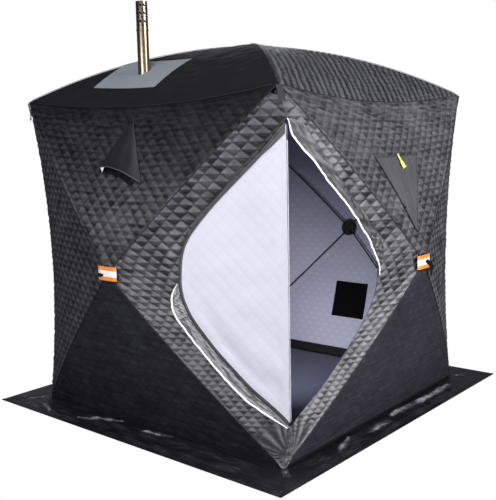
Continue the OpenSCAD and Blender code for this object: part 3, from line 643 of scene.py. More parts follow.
# Quilted panels
def fan_domain(point, half, apex, corner):
    """Domain of a triangular panel: place across, and distance from its hub down the middle."""
    length = arc_len(point(np.full(200, 0.5), np.linspace(0, 1, 200)))
    v0 = HUB_HOLE / np.linalg.norm(corner - apex)
    v1 = 1 - EDGE / length

    def to3d(xy):
        v = np.clip(xy[:, 1] / length, 1e-3, None)
        return point(0.5 + xy[:, 0] / (2 * v * half), v)
    loop = np.array([[-half * v0 + EDGE, v0 * length], [half * v0 - EDGE, v0 * length],
                     [half * v1 - EDGE, v1 * length], [-half * v1 + EDGE, v1 * length]])
    return to3d, loop, length


UPPER_3D, UPPER_LOOP, UPPER_LEN = fan_domain(upper_pt, EAVE_HALF, HUB, TR)
LOWER_3D, LOWER_LOOP, LOWER_LEN = fan_domain(lower_pt, BASE_HALF, HUB, BR)
ROOF_3D, ROOF_LOOP, ROOF_LEN = fan_domain(roof_pt, EAVE_HALF, PEAK, TR)


def sagged(x, rise, span, sag, length):
    """Domain point of a panel with a sagging eave, at a place across and a rise out of its whole span."""
    x, rise = np.asarray(x, float), np.asarray(rise, float)
    v = rise / span
    for _ in range(20):
        v = (rise + sag * arch(0.5 + x / (2 * v * EAVE_HALF)) * v * v) / span
    return np.stack([x, v * length], -1)


def on_upper(x, z):
    return sagged(x, z - HUB_H, EAVE_H - HUB_H, EAVE_DROP, UPPER_LEN)


def on_roof(x, y):
    return sagged(x, -y, EAVE_HALF, EAVE_IN, ROOF_LEN)


def padding(depth, top, seed, up=1, stroke=0.0012, wrinkle=0.0012, flat_at=None, lines=None, shade=0.35, dash=0.0,
            crinkle=0.0, warp=None, line_tone=130, uneven=0.12, foot=0.0, tuck_shading=0.0):
    """Outer face of a quilted panel: pillows that hang a little between stitch lines, drawn in at its seams, with a
    tone of painted light and shade on them.
    """
    lowest, highest, at_seam = -0.0054, 0.0018, -0.0035

    def face(xy, p, n, d):
        q, m, r = quilt(xy if warp is None else warp(xy), up)
        weight = np.ones(len(xy)) if flat_at is None else flat_at(xy)
        fine = waves(xy, 0.030, seed + 7, 24, (3.2, 1.0))
        pillow = q * (1 - 0.85 * np.abs(m + 0.06)) * (0.8 + 0.2 * r)
        fold = stroke * (0.3 + 1.0 * np.mod(r * 7.3, 1)) * q
        fold = fold * (np.exp(-((m + 0.20) / 0.09) ** 2) + 0.6 * np.exp(-((m + 0.52) / 0.09) ** 2))
        h = -depth + (depth + top) * pillow * weight - weight * fold
        h = h + wrinkle * waves(xy, 0.16, seed, stretch=(1.6, 0.7)) * fade(d, 0.0, 0.05) + 0.004 * crinkle * fine
        # One half of each diamond lit and the other shaded: painted light and shade, with painted shade in the stitch
        # lines
        tone = 0.5 + shade * weight * np.clip(m * 7 + 0.5, -1, 1) * q - 0.2 * weight * (1 - q)
        if lines is not None:
            h = h + lines(xy)
            # Tone follows the extra relief: painted light on its tops, painted shade in its hollows
            tone = tone + lines(xy) * line_tone
        h = np.clip(h, lowest, highest)
        h = at_seam + (h - at_seam) * fade(d, 0.0, 0.012)
        # Painted shade where the quilting is drawn flat, by the foot setting
        tone = tone - foot * (1 - weight)
        # Painted highlight: a light dash across some diamonds
        tone = tone + dash * np.exp(-((m - 0.12) / 0.10) ** 2) * q * fade(r, 0.3, 0.9)
        # Painted shadow line across one half of a diamond and a painted highlight across the other half
        crease_shade = np.exp(-((m - 0.30 - 0.10 * np.mod(r * 5.1, 1)) / 0.06) ** 2) * np.mod(r * 3.7, 1)
        glint = np.exp(-((m + 0.30) / 0.08) ** 2) * np.mod(r * 9.3, 1)
        tone = tone + tuck_shading * weight * q * (glint - crease_shade * fade(fine, -0.6, 0.6))
        # Painted light on the raised crinkles; uneven adds tone that differs at random
        tone = tone + crinkle * fine + uneven * (r - 0.5 + 0.5 * waves(xy, 0.22, seed + 9))
        return p + n * col(h), np.clip(tone, 0, 1)
    return face


def lining(up=1):
    at_seam, pad = 0.0068, 0.0009

    def face(xy, p, n, d):
        q = quilt(xy, up)[0]
        k = WALL - pad + pad * q
        # Tone q: painted shade in the stitch valleys of the lining
        return deep(p, at_seam + (k - at_seam) * fade(d, 0, 0.02)), q
    return face


def finish_panel(o, node, flat, area, held="stretched", rests=("wall_poles",), body=HUT, slot="quilted_shell"):
    placed(o, slot, node, body)
    list(rests)


def area_of(to3d, loop):
    v, t = triangulate([resample(loop, 0.03)], 1)
    return tri_area(to3d(v)[t])


def circle(c, r, n=28):
    a = np.arange(n) * 2 * math.pi / n
    return np.stack([c[0] + r * np.cos(a), c[1] + r * np.sin(a)], 1)


def outline_on_upper(corners, steps=12):
    """Closed outline on the upper panel through corners given by place across and height."""
    f = np.arange(steps) / steps
    return np.vstack([on_upper(*mix(a, b, f).T) for a, b in zip(corners, np.roll(corners, -1, 0))])


WINDOW = np.array([(-0.2615, 1.423), (0.1735, 1.423), (-0.020, 1.033)])
window_xy = outline_on_upper(WINDOW)
vent_xy = on_upper(*circle((-0.005, 1.4643), 0.05).T)
pipe_at = roof_pt(np.array([0.5 + PIPE[0] / (2 * -PIPE[1])]), np.array([-PIPE[1] / EAVE_HALF]))[0]
pipe_xy = on_roof(*circle(pipe_at[:2], PIPE_HOLE).T)


def eave_pull(xy):
    """Long level wrinkles under the eave, where the cloth is slack."""
    k = fade(xy[:, 1], UPPER_LEN * 0.62, UPPER_LEN * 0.95)
    return k * 0.0016 * waves(xy, 0.05, 21, stretch=(5.0, 0.8))


def under_eave(xy):
    return 1 - 0.45 * fade(xy[:, 1], UPPER_LEN * 0.75, UPPER_LEN)


def ridges(xy):
    """Stitch lines of one slant drawn deeper, as the roof cloth shows."""
    a = 1.35 * (xy[:, 0] / QUILT[0] + xy[:, 1] / QUILT[1] / 2) + 0.10 * waves(xy, 0.3, 22)
    f = np.abs(a - np.round(a)) * 2
    return 0.0052 * np.sin(f * 1.5708) - 0.0036 + 0.0006 * waves(xy, 0.05, 23)


HOOD_MID, HOOD_TOP, HOOD_HALF = -0.005, 1.636, 0.17


def hood_drop(j):
    """Fall of the hood from its top to its mouth; j runs from -1 to 1 across the mouth."""
    return 0.277 + 0.036 * j - 0.033 * (1 - j * j)


def hood_shadowed(face):
    """The front wall with a painted shadow in a band along and under the hood's mouth."""
    def shaded(xy, p, n, d):
        q, tone = face(xy, p, n, d)
        j = (p[:, 0] - HOOD_MID) / HOOD_HALF
        below = HOOD_TOP - hood_drop(j) - p[:, 2]
        foot = 0.045 + 0.018 * j
        # Painted shadow: a dark band along and under the hood's mouth
        hood_shadow = hill(below, -0.04, -0.02, foot - 0.006, foot + 0.006) * hill(j, -1.0, -0.85, 0.4, 0.75)
        return q, tone * (1 - hood_shadow) - hood_shadow
    return shaded


def turned(f, q):
    return lambda xy: turn(f(xy), q)


for q, side in enumerate(SIDES):
    front, right = q == 0, q == 1
    n = 7 if front or right else 4
    if front:
        face = padding(0.0020, -0.001, 31, -1, 0.0003, 0.0016)
    else:
        face = padding(0.0014, -0.0002, 31 + q, -1, 0.0004, 0.0008, lines=ridges, shade=0.12, line_tone=210)
    o = shell(f"{side}_roof_cloth", [ROOF_LOOP] + [pipe_xy] * front, turned(ROOF_3D, q), face, lining(-1),
              [SHELL_ROOF if front else SHELL_RIDGE, LINING], 4 if front else n, hollow=UNDER_ROOF)
    finish_panel(o, f"{side}_roof_panel", (2 * EAVE_HALF, ROOF_LEN), area_of(ROOF_3D, ROOF_LOOP), rests=("roof_poles",))
    face = padding(0.0046, 0.0010, 41 + q, 1, 0.0020, 0.0012, under_eave, eave_pull, 0.24, crinkle=0.17, uneven=0.2)
    o = shell(f"{side}_upper_cloth", [UPPER_LOOP] + [vent_xy] * front + [window_xy] * right, turned(UPPER_3D, q),
              hood_shadowed(face) if front else face, lining(), [SHELL_FRONT if front else SHELL, LINING], n)
    finish_panel(o, f"{side}_upper_panel", (2 * EAVE_HALF, UPPER_LEN), area_of(UPPER_3D, UPPER_LOOP))
    face = padding(0.0018, -0.0008, 51 + q, -1, 0.0018, 0.0012, shade=0.04, dash=0.6, crinkle=0.10)
    o = shell(f"{side}_lower_cloth", [LOWER_LOOP], turned(LOWER_3D, q), face, lining(-1),
              [SHELL_LOW_RIGHT if right else SHELL_LOW, LINING_HEM], n)
    finish_panel(o, f"{side}_lower_panel", (2 * BASE_HALF, LOWER_LEN), area_of(LOWER_3D, LOWER_LOOP))


# Plain corners
def hub_notch(share):
    """Width cut from a corner cloth beside a hub; share falls from 1 at the hub."""
    return SEAM_GAP + (HUB_HOLE - SEAM_GAP) * np.clip(share, 0, 1)


def corner_3d(xy):
    t = xy[:, 1] / CORNER_LEN
    return corner_pt(xy[:, 0] / np.maximum(corner_half(t), 1e-4), t)


rows = np.linspace(HEAD_SHARE, FOOT_SHARE, 90)
rows = np.sort(np.r_[rows, HUB_SHARE, HUB_SHARE - NOTCH, HUB_SHARE + NOTCH])
wide = corner_half(rows)
edge_x = wide - hub_notch(1 - np.abs(rows - HUB_SHARE) / NOTCH) - EDGE
CORNER_LOOP = np.vstack([np.stack([-edge_x, rows * CORNER_LEN], 1), np.stack([edge_x, rows * CORNER_LEN], 1)[::-1]])
for q, side, mat, n in [(1, "right", SHELL, 6), (2, "back", SHELL, 4), (3, "left", SHELL_SIDE, 6)]:
    o = shell(f"{side}_corner_cloth", [CORNER_LOOP], turned(corner_3d, q),
              padding(0.0050, 0.0012, 60 + q, -1, crinkle=0.08, uneven=0.25), lining(-1), [mat, LINING], n)
    finish_panel(o, f"{side}_corner_panel", (2 * float(wide.max()), CORNER_LEN), area_of(corner_3d, CORNER_LOOP))


# Door corner: two strips from the doorway to the pole seams
def strip_edges(k):
    r, e, p = fine_rows(k, 0, FOOT_ROW + 1, 24)
    return e + swollen(k, r), p


def strip_piece(k, gap=0.0007, cols=9):
    """Domain of a strip in the leaf's plane: its surface and its outline."""
    e, p = strip_edges(k)
    foot, d, n = leaf_axes(k)

    def flat(x):
        return np.stack([(x - foot) @ d, (x - foot) @ FOLD_DIR], -1)
    grid = np.stack([e + (p - e) * c for c in np.linspace(0, 1, cols)], 1)
    verts = [Vector((*a, b)) for a, b in zip(flat(grid).reshape(-1, 2), ((grid - foot) @ n).ravel())]
    faces = [(i * cols + j, i * cols + j + 1, i * cols + cols + j + 1, i * cols + cols + j)
             for i in range(len(e) - 1) for j in range(cols - 1)]
    tree = BVHTree.FromPolygons(verts, faces)

    def to3d(xy):
        rise = np.zeros(len(xy))
        for i, (x, y) in enumerate(xy):
            hit = tree.ray_cast(Vector((x, y, -1)), Vector((0, 0, 1)))[0]
            if hit is None:
                hit = tree.find_nearest(Vector((x, y, 0)))[0]
            rise[i] = hit.z
        q = foot + np.outer(xy[:, 0], d) + np.outer(xy[:, 1], FOLD_DIR) + np.outer(rise, n)
        return q if k > 0 else swap(q)
    way = unit(p - e)
    cut = hub_notch(1 - norms(p - HUB) / HUB_HOLE)
    return to3d, np.vstack([flat(e + way * gap)[::6], flat(p - way * (cut[:, None] + gap))[::-6]])


GATHER_AT = np.array([0.0, -0.13])


def gathers(xy):
    """Folds that run together at the foot of the doorway."""
    v = xy - GATHER_AT
    r, a = np.hypot(*v.T), np.arctan2(v[:, 0], v[:, 1])
    k = hill(r, 0.02, 0.06, 0.10, 0.26)
    return k * (0.0038 * np.sin(a * 23 + 2.5 * np.sin(a * 4) + 6 * r) - 0.0004)


# Quilting drawn flat toward the foot of the doorway; the strips also use it for painted shade there
def smooth_foot(xy):
    return fade(np.hypot(*(xy - GATHER_AT).T), 0.08, 0.24)


TIGHT_Y = np.linspace(-0.4, 1.7, 500)
TIGHT = 1 + 0.6 * (1 - fade(TIGHT_Y, 0.15, 0.85))
TIGHT_SUM = np.cumsum(TIGHT) * (TIGHT_Y[1] - TIGHT_Y[0])


def tighter(xy):
    """Quilting that grows finer toward the foot of the doorway, where the strips draw together."""
    return np.stack([xy[:, 0] * np.interp(xy[:, 1], TIGHT_Y, TIGHT), np.interp(xy[:, 1], TIGHT_Y, TIGHT_SUM)], 1)


for k, side, mat in [(1, "front", STRIP), (-1, "right", STRIP_RIGHT)]:
    to3d, loop = strip_piece(k)
    # Strips: painted light and shade on the diamonds, and painted shade at the gathered foot
    face = padding(0.0054, 0.0018, 71 + k, 1, 0.0014, 0.0006, smooth_foot, gathers, 0.27, crinkle=0.13, warp=tighter,
                   uneven=0.36, foot=0.28, tuck_shading=0.34)
    o = shell(f"door_strip_{side}", [loop], to3d, face, lining(), [mat, LINING], 9)
    e, p = strip_edges(k)
    flat = (float(norms(p - e).max()), float(arc_len((e + p) / 2)))
    finish_panel(o, f"door_surround_{side}", flat, area_of(to3d, loop))


# Door halves
def leaf_loop(o, start):
    """Outline of a door half from start, its distance from the fold."""
    line = leaf_outline(o, 40)
    top = [start, FOLD_LEN - o / math.sin(UPPER) - start / math.tan(UPPER)]
    low = [start, o / math.sin(LOWER) + start / math.tan(LOWER)]
    loop = np.vstack([top, line[line[:, 0] >= start], low])
    loop[:, 1] = np.clip(loop[:, 1], FOLD_END, FOLD_LEN - FOLD_END)
    return loop


def leaf_flat(d):
    return lambda xy: leaf_at(xy, 1, d)


def billow(xy):
    """Soft folds of the hanging door half, longest toward its lower point."""
    low = 1 - fade(xy[:, 1], 0.15, 0.75)
    fold = np.sin((xy[:, 1] - 0.9 * xy[:, 0]) * 26 + 3 * np.sin(xy[:, 0] * 7)) * low
    return 0.0014 * waves(xy, 0.22, 91) + 0.0038 * fold * fade(xy[:, 0], 0.0, 0.06)


HALF_THICK, FLAP_MID, FIXED_MID = 0.0036, 0.0094, -0.004


def flap_face(side, depth):
    """One face of the swinging half; side is 1 for the lining, which lies outside while it is folded back."""
    def face(xy, p, n, d):
        q, _, r = quilt(xy)
        middle = FLAP_MID + billow(xy) * fade(d, 0.022, 0.06)
        at = middle + side * (HALF_THICK - depth * (1 - q * (0.8 + 0.2 * r)) * fade(d, 0, 0.015))
        # Tone: painted shade in the stitch valleys
        return leaf_at(xy, 1, at), 0.72 + 0.28 * q
    return face


def fixed_face(side):
    def face(xy, p, n, d):
        q = quilt(xy)[0]
        at = FIXED_MID + side * (HALF_THICK - 0.0025 * (1 - q) * fade(d, 0, 0.01))
        # Tone q: painted shade in the stitch valleys
        return leaf_at(xy, 1, at), q
    return face


def door_half(name, loop, middle, outer, inner, mats, n, n_in, node, *said):
    o = shell(name, [loop], leaf_flat(middle), outer, inner, mats, n, n_in)
    span = loop.max(0) - loop.min(0)
    finish_panel(o, node, tuple(float(x) for x in span), area_of(leaf_flat(0.0), loop), *said)


door_half("door_flap_cloth", leaf_loop(FLAP_GAP, FOLD_EDGE), FLAP_MID, flap_face(1, 0.0007), flap_face(-1, 0.0024),
          [WHITE, STRIP], 6, 4, "door_flap", "folded", ("door_fold",), LEAF, "white_lining")
door_half("door_fixed_cloth", leaf_loop(FIXED_GAP, FOLD_MARGIN), FIXED_MID, fixed_face(1), fixed_face(-1),
          [STRIP, LINING], 3, 2, "door_fixed_half")


# Strips and cords laid along a line of points
def ribbon(name, left, right, lift, thick, mat, cols, tone, crinkle, seed):
    """Closed strip of cloth between two lines, lifted along lift by its crinkles, with painted light on the raised
    crinkles and painted shade between them.
    """
    n = len(left)
    c = np.linspace(0, 1, cols)
    low = (left[:, None] + (right - left)[:, None] * c[None, :, None]).reshape(-1, 3)
    pace = norms(np.diff(left, axis=0)).mean()
    flat = np.stack(np.meshgrid(np.arange(n) * pace, c * 0.06, indexing="ij"), -1).reshape(-1, 2)
    wave = waves(flat, 0.05, seed, stretch=(2.2, 0.8)) + 0.5 * waves(flat, 0.03, seed + 1, stretch=(1.2, 1.0))
    wide = np.clip(norms(right - left) / 0.05, 0, 1)
    h = crinkle * (0.5 + 0.5 * wave).clip(0, 1.4) * np.tile(fade(c, 0, 0.15), n) * np.repeat(wide, cols)
    top = low + lift * col(h + thick)
    t = grid_tris(n, cols)
    facing = np.cross(top[t[:, 1]] - top[t[:, 0]], top[t[:, 2]] - top[t[:, 0]]).sum(0)
    return two_layers(name, top, low, t, mat, np.clip(tone + 0.5 * np.r_[wave, wave], 0, 1), facing @ lift < 0)


def tube(line, radius, sides, lift=None, flat=1.0):
    """Points and triangles of a closed cord along a line, flattened along lift."""
    line = np.asarray(line, float)
    t = unit(np.gradient(line, axis=0))
    a = unit(np.cross(t, np.array([0.31, 0.27, 0.91])))
    b = np.cross(t, a)
    w = np.arange(sides) * 2 * math.pi / sides
    r = np.broadcast_to(np.asarray(radius, float), (len(line),))[:, None, None]
    off = (a[:, None] * np.cos(w)[None, :, None] + b[:, None] * np.sin(w)[None, :, None]) * r
    if lift is not None:
        off = off - (1 - flat) * (off @ lift)[..., None] * lift
    v = np.vstack([(line[:, None] + off).reshape(-1, 3), line[0], line[-1]])
    start, j = np.arange(len(line) - 1)[:, None] * sides, np.arange(sides)
    q, s = (start + j).ravel(), (start + (j + 1) % sides).ravel()
    wall = np.stack([q, s, s + sides, q, s + sides, q + sides], 1).reshape(-1, 3)
    end, last, full = (len(line) - 1) * sides, len(v), np.ones(sides, int)
    caps = np.stack([(j + 1) % sides, j, full * (last - 2), end + j, end + (j + 1) % sides, full * (last - 1)], 1)
    return v, np.vstack([wall, caps.reshape(-1, 3)])


def cords(name, lines, radius, mat, sides=7, slot=None, node=None, lift=None, flat=1.0, body=HUT, tone=0.6):
    vs, fs, k = [], [], 0
    for line in lines:
        v, f = tube(line, radius, sides, lift, flat)
        vs.append(v)
        fs.append(f + k)
        k += len(v)
    v, f = np.vstack(vs), np.vstack(fs)
    return placed(make(name, v, f, [mat], np.zeros(len(f)), puff=np.full(len(v), tone)), slot, node, body)


# Storm flaps over the zip, with white piping on their free edges. Each pair is a share of the flap's length and
# the free edge's distance from the doorway's straight edge, read off the photo.
LOWER_FREE = [(0, 0.004), (0.02, 0.018), (0.06, 0.042), (0.115, 0.062), (0.18, 0.084), (0.24, 0.099), (0.33, 0.106),
              (0.48, 0.110), (0.66, 0.108), (0.76, 0.096), (0.85, 0.076), (0.92, 0.040), (1.0, 0.008)]
UPPER_FREE = [(0, 0.0), (0.04, -0.018), (0.09, -0.042), (0.17, -0.036), (0.23, -0.026), (0.29, -0.015), (0.39, -0.022),
              (0.50, -0.010), (0.59, 0.003), (0.64, 0.0), (0.73, -0.017), (0.80, -0.015), (0.85, -0.020),
              (0.90, -0.014), (0.95, 0.004), (1.0, 0.004)]
FLAP_THICK, PIPING_R, PIPING_OFF = 0.0012, 0.0052, 0.0046


def storm(k, first, last, kind, mat):
    r, e, p = fine_rows(k, first, last, 26)
    way = unit(p - e)
    n = leaf_axes(k)[2]
    s = run(e)
    sway = col(0.0015 * waves(s[:, None], 0.12, 81 + k) + 0.001 * waves(s[:, None], 0.06, 83 + k))
    base = -n * FLAP_THICK
    moved = swollen(k, r)
    rest = unit(p - e - moved)
    shift = col(norms(moved))
    w = np.interp(s / s[-1], *np.array(LOWER_FREE if kind == "lower" else UPPER_FREE).T)
    soft = np.hanning(33)[1:-1]
    free = col(np.convolve(np.pad(w, 15, "edge"), soft / soft.sum(), "valid"))
    if kind == "lower":
        a = e + moved + rest * STORM_SET + base
        b = e + moved + rest * (np.maximum(free + sway - shift, STORM_SET + 0.002)) + base
        pipe = b - n * PIPING_OFF
    else:
        a = e + way * (free + sway) + base - n * 0.006 * fade(-free, 0.0, 0.006)
        taper = hill(s, -0.02, 0.06, s[-1] - 0.16, s[-1])
        b = e + moved + rest * np.maximum(STORM_SET + 0.004 + (STORM_W - 0.004) * col(taper) - shift, 0.006) + base
        pipe = a - n * PIPING_OFF
    lift = -n
    if k < 0:
        a, b, pipe, lift = swap(a), swap(b), swap(pipe), swap(lift)
    name = f"storm_flap_{kind}_cloth"
    o = ribbon(name, a, b, lift, FLAP_THICK, mat, 11, 0.45, 0.0042, 101 + k)
    placed(o, "storm_cloth", f"storm_flap_{kind}")
    radius = PIPING_R * (0.35 + 0.65 * fade(s, 0, 0.09)) * (1 - 0.45 * fade(s, s[-1] - 0.09, s[-1]))
    cord = cords(name + "_piping", [pipe], radius, PIPING, 10, "white_lining", lift=lift, flat=0.55)
    widest, length = float(norms(b - a).max()), float(arc_len(a))


storm(-1, HEAD_ROW, MID_ROW, "upper", STORM)
storm(1, MID_ROW, FOOT_ROW, "lower", STORM_LIT)

# Foot of the door corner, where the strips are gathered to a point
half_rows = [mix(pole_front(FOOT_SHARE), surround_rows(k)[0][-1], np.linspace(0, 1, 15)) for k in (1, -1)]
gather = np.vstack([half_rows[0][:-1], swap(half_rows[1])[::-1]]) + DIAG * 0.0015 + UP * 0.003
tip = BR + DIAG * 0.002 + UP * 0.004 + col(np.linspace(-0.012, 0.012, len(gather))) * SIDE
o = placed(ribbon("door_foot_gather", gather, tip, DIAG, 0.0012, STRIP, 9, 0.3, 0.004, 205), "quilted_shell")
wide, tall = float(arc_len(gather)), float(norms(gather - tip).max())


# Zip tape round the swinging half
def along(line, f):
    d = run(line)
    return np.stack([np.interp(f * d[-1], d, line[:, i]) for i in range(2)], 1)


TAPE_AT, CHAIN_AT = 0.0134, 0.0156
a, b = (along(leaf_outline(FLAP_GAP + o, 90), np.linspace(0, 1, 260)) for o in (0.0005, TAPE_W))
keep = a[:, 0] > FOLD_EDGE + 0.001
a, b = a[keep], b[keep]
b[:, 0] = np.maximum(b[:, 0], FOLD_EDGE + 0.0005)
b[:, 1] -= 0.030 * np.clip(1 - a[:, 0] / 0.12, 0, 1) * (a[:, 1] > FOLD_LEN / 2)
o = ribbon("door_zip_band", leaf_at(a, 1, TAPE_AT), leaf_at(b, 1, TAPE_AT), -leaf_axes(1)[2], 0.0016, BINDING, 6, 0.5,
           0.0006, 111)
placed(o, "webbing", "door_zip_tape", LEAF)
float(arc_len(leaf_at(a, 1)))
cords("door_zip_chain", [leaf_at(a + 0.25 * (b - a), 1, CHAIN_AT)], 0.0016, MOULDED, 6, body=LEAF, tone=0.4)

# Seam piping over the poles and along the eaves, and the hem at the foot
lines = []
k = np.linspace(0.035, 0.985, 60)
for q in range(4):
    lines += [turn(seam(HUB, end, OUT, WALL_BOW, k), q) for end in (TL, TR, BL, BR)]
    lines.append(turn(seam(PEAK, TR, UP, ROOF_BOW, k), q))
    lines.append(turn(roof_pt(np.linspace(0.02, 0.98, 60), np.full(60, 1.0)), q))
cords("seam_piping", lines, 0.0016, SHELL_LOW, 6, "quilted_shell")
foot_line = mix(BL, BR, np.linspace(0.012, 0.988, 60)) + np.array([0, -0.003, 0.0042])
cords("wall_foot_hem", [turn(foot_line, q) for q in range(4)], 0.0042, LOOP, 8, "quilted_shell")

# Snow skirt: creases with painted highlights along them where the photo shows them, each by its two ends and its width
GLINTING_CREASES = {
    0: [((-0.45, -1.01), (-0.20, -0.905), 0.016), ((0.01, -0.955), (0.18, -0.905), 0.012),
        ((-0.98, -0.975), (-0.92, -0.92), 0.013), ((-0.80, -0.985), (-0.66, -1.05), 0.009)],
    1: [((0.02, -0.93), (0.36, -0.95), 0.020), ((0.30, -0.965), (0.68, -0.955), 0.017),
        ((-0.57, -0.985), (-0.40, -0.93), 0.011), ((-0.26, -0.965), (-0.04, -0.98), 0.013)],
}


def glinting_crease(v, a, b, width):
    """A raised, uneven crease between two places of the skirt, which also sets a painted highlight along it."""
    a, w = np.array(a), np.array(b) - np.array(a)
    t = np.clip((v - a) @ w / (w @ w), 0, 1)
    d = np.hypot(*(v - a - np.outer(t, w)).T) + 0.35 * width * waves(v, 0.07, 191, stretch=(1.4, 1.0))
    edge = np.exp(-(d / (width * (0.45 + 0.55 * np.sin(math.pi * t)))) ** 2)
    return edge * (0.75 + 0.35 * waves(v, 0.05, 193)).clip(0, 1)


def skirt(side, q, left, right):
    inner = BASE_HALF - SKIRT_UNDER
    loop = np.array([[left[0] + EDGE, left[1]], [right[0] - EDGE, right[1]], [inner - EDGE, -inner],
                     [-inner + EDGE, -inner]])
    loop = resample(loop, 0.022)
    v, t = triangulate([loop], 6)
    y = -v[:, 1] - BASE_HALF
    corner = np.minimum(*(np.hypot(*(v - [x * 0.83, -0.92]).T) for x in (left[0], right[0])))
    k = fade(y, 0.012, 0.05) * fade(corner, 0.08, 0.2) * fade(near(v, loop), 0.0, 0.05)
    w = waves(v, 0.19, 131 + q, stretch=(2.4, 0.55)) + 0.5 * waves(v, 0.07, 141 + q, stretch=(1.6, 0.8))
    if q in GLINTING_CREASES:
        crease = sum(glinting_crease(v, *line) for line in GLINTING_CREASES[q]).clip(0, 1) * fade(y, 0.004, 0.02)
    else:
        # Other sides: random creases, also with a painted highlight
        crease = np.exp(-(waves(v, 0.34, 161 + q, stretch=(2.2, 0.5)) / 0.1) ** 2)
        crease = crease * fade(waves(v, 0.25, 171 + q), 0.35, 1.15) * k
    lay = 0.0085 * np.clip(0.35 + 0.65 * w, 0, 1.6) * k + 0.0012 * np.abs(waves(v, 0.05, 151 + q)) * k + 0.004 * crease
    # Tone: painted highlight along the creases, and a little lighter on the wrinkle tops
    o = two_layers(f"{side}_skirt_cloth", turn(np.c_[v, SKIRT_TOP + lay], q), turn(np.c_[v, SKIRT_LOW + lay * 0.3], q),
                   t, SKIRTING, np.tile(np.clip(0.012 + 0.012 * w + 0.8 * crease, 0, 1), 2))
    placed(o, "skirt_cloth", f"{side}_skirt")


tip = np.array([SKIRT, -SKIRT]) - SIDE[:2] * TIP_SHIFT
for q, side in enumerate(SIDES):
    skirt(side, q, (tip[1], -tip[0]) if q == 1 else (-SKIRT, -SKIRT), tuple(tip) if q == 0 else (SKIRT, -SKIRT))

# Tape over the mitred skirt corners
for q in range(4):
    start, end = (turn(np.array([x, -x, 0.0]), q)[:2] for x in (BASE_HALF, SKIRT))
    end = tip if q == 0 else end
    line = mix(start, end, np.linspace(0.02, 0.985, 30))
    way = (end - start) / np.linalg.norm(end - start)
    side = np.array([-way[1], way[0]]) * SEAM_W / 2
    edges = [np.c_[line + s, np.full(30, SEAM_Z)] for s in (-side, side)]
    o = placed(ribbon(f"skirt_seam_{q}", *edges, UP, 0.001, SKIRTING, 4, -0.9, 0.0006, 201), "skirt_cloth")
    float(arc_len(line))


# Vent hood
def hood(rows=34, cols=34):
    i, j = np.meshgrid(np.linspace(0, 1, rows), np.linspace(-1, 1, cols), indexing="ij")
    b = 0.08 + 0.92 * i
    base = UPPER_3D(on_upper((HOOD_MID + j * HOOD_HALF * b).ravel(), (HOOD_TOP - hood_drop(j) * b).ravel()))
    out = 0.0004 + 0.04 * b * (1 - j * j)
    crease = 0.0022 * np.sin(j * 9 + 2 * i) * i * (1 - j * j)
    top, low = (base + OUT * col((out + x + crease).ravel()) for x in (0.0036, 0.0004))
    t = grid_tris(rows, cols)[:, ::-1]
    o = placed(two_layers("vent_hood_cloth", top, low, t, HOOD, np.zeros(2 * len(top))), "quilted_shell", "vent_hood")
    hem = top.reshape(rows, cols, 3)[-1]
    cord = cords("vent_hood_hem", [hem[1:-1]], 0.003, FLAT)
    tri_area(base[t]) * 1.2
    a = hem[3] + np.array([0, -0.002, -0.002])
    v = np.array([a, a + [0.032, -0.004, 0.0], a + [0.013, -0.001, -0.028]])
    v = np.vstack([v, v + [0, 0.0012, 0]])
    f = np.array([(0, 2, 1), (3, 4, 5), (0, 1, 4), (0, 4, 3), (1, 2, 5), (1, 5, 4), (2, 0, 3), (2, 3, 5)])
    placed(make("vent_hood_tag", v, f, [PIPING], np.zeros(len(f)), puff=np.full(6, 0.8)))


hood()

# Window cover: plain cloth in the window, with a zip down one side
inset = WINDOW.mean(0) + (WINDOW - WINDOW.mean(0)) * 0.985
loop = outline_on_upper(inset)


def cover(depth):
    def face(xy, p, n, d):
        h = 0.0016 * waves(xy, 0.14, 161, stretch=(0.6, 2.0)) * fade(d, 0, 0.03) - depth
        return p + n * col(h), np.full(len(xy), 0.8)
    return face


o = shell("window_cloth", [loop], turned(UPPER_3D, 1), cover(0.002), cover(0.005), [FLAT, LINING], 4, 2)
finish_panel(o, "window_cover", (0.43, 0.40), area_of(UPPER_3D, loop), rests=("right_upper_panel",))


def on_right(points, out):
    xy = on_upper(points[:, 0], points[:, 1])
    n = normals(UPPER_3D, xy)
    n *= np.sign((n * OUT).sum(1))[:, None]
    return turn(UPPER_3D(xy) + n * out, 1)


zip_line, top_line, side_line = (mix(WINDOW[i], WINDOW[j], np.linspace(0, 1, 40)) for i, j in ((0, 2), (0, 1), (1, 2)))
cords("window_zip", [on_right(zip_line, 0.0012)], 0.0034, WEBBING, slot="webbing")
cords("window_hem", [on_right(top_line, 0.0), on_right(side_line, 0.0)], 0.0022, FLAT)
cords("window_slider", [on_right(zip_line[24:27], 0.004)], 0.006, MOULDED)
pull_line = smooth_line([[-0.034, 1.430], [-0.030, 1.412], [-0.020, 1.395], [-0.014, 1.378], [-0.006, 1.358]], 30)
half = np.interp(np.linspace(0, 4, 30), [0, 2, 2.6, 4], [0.006, 0.007, 0.014, 0.016])[:, None] * np.array([1.0, 0.25])
o = placed(ribbon("window_pull", on_right(pull_line - half, 0.0045), on_right(pull_line + half, 0.0045),
                  np.array([1.0, 0, 0]), 0.002, PULL, 5, 0.6, 0.003, 171))

# Stove jack patch, kept on the panel between the roof seams
(west, south), (east, north) = (-0.50, -0.7477), (-0.02, -0.4577)
line = resample(np.array([[west, south], [east, south], [east, north], [west, north]]), 0.02)
line[:, 0] = np.clip(line[:, 0], line[:, 1] + 0.012, None)


def patch_face(top):
    def face(xy, p, n, d):
        rise = 0.0006 + top * (0.0018 + 0.0005 * waves(xy, 0.1, 181) * fade(d, 0, 0.03))
        return p + UP * col(rise), 0.6 - 0.4 * (1 - fade(d, 0.004, 0.008)) * top
    return face


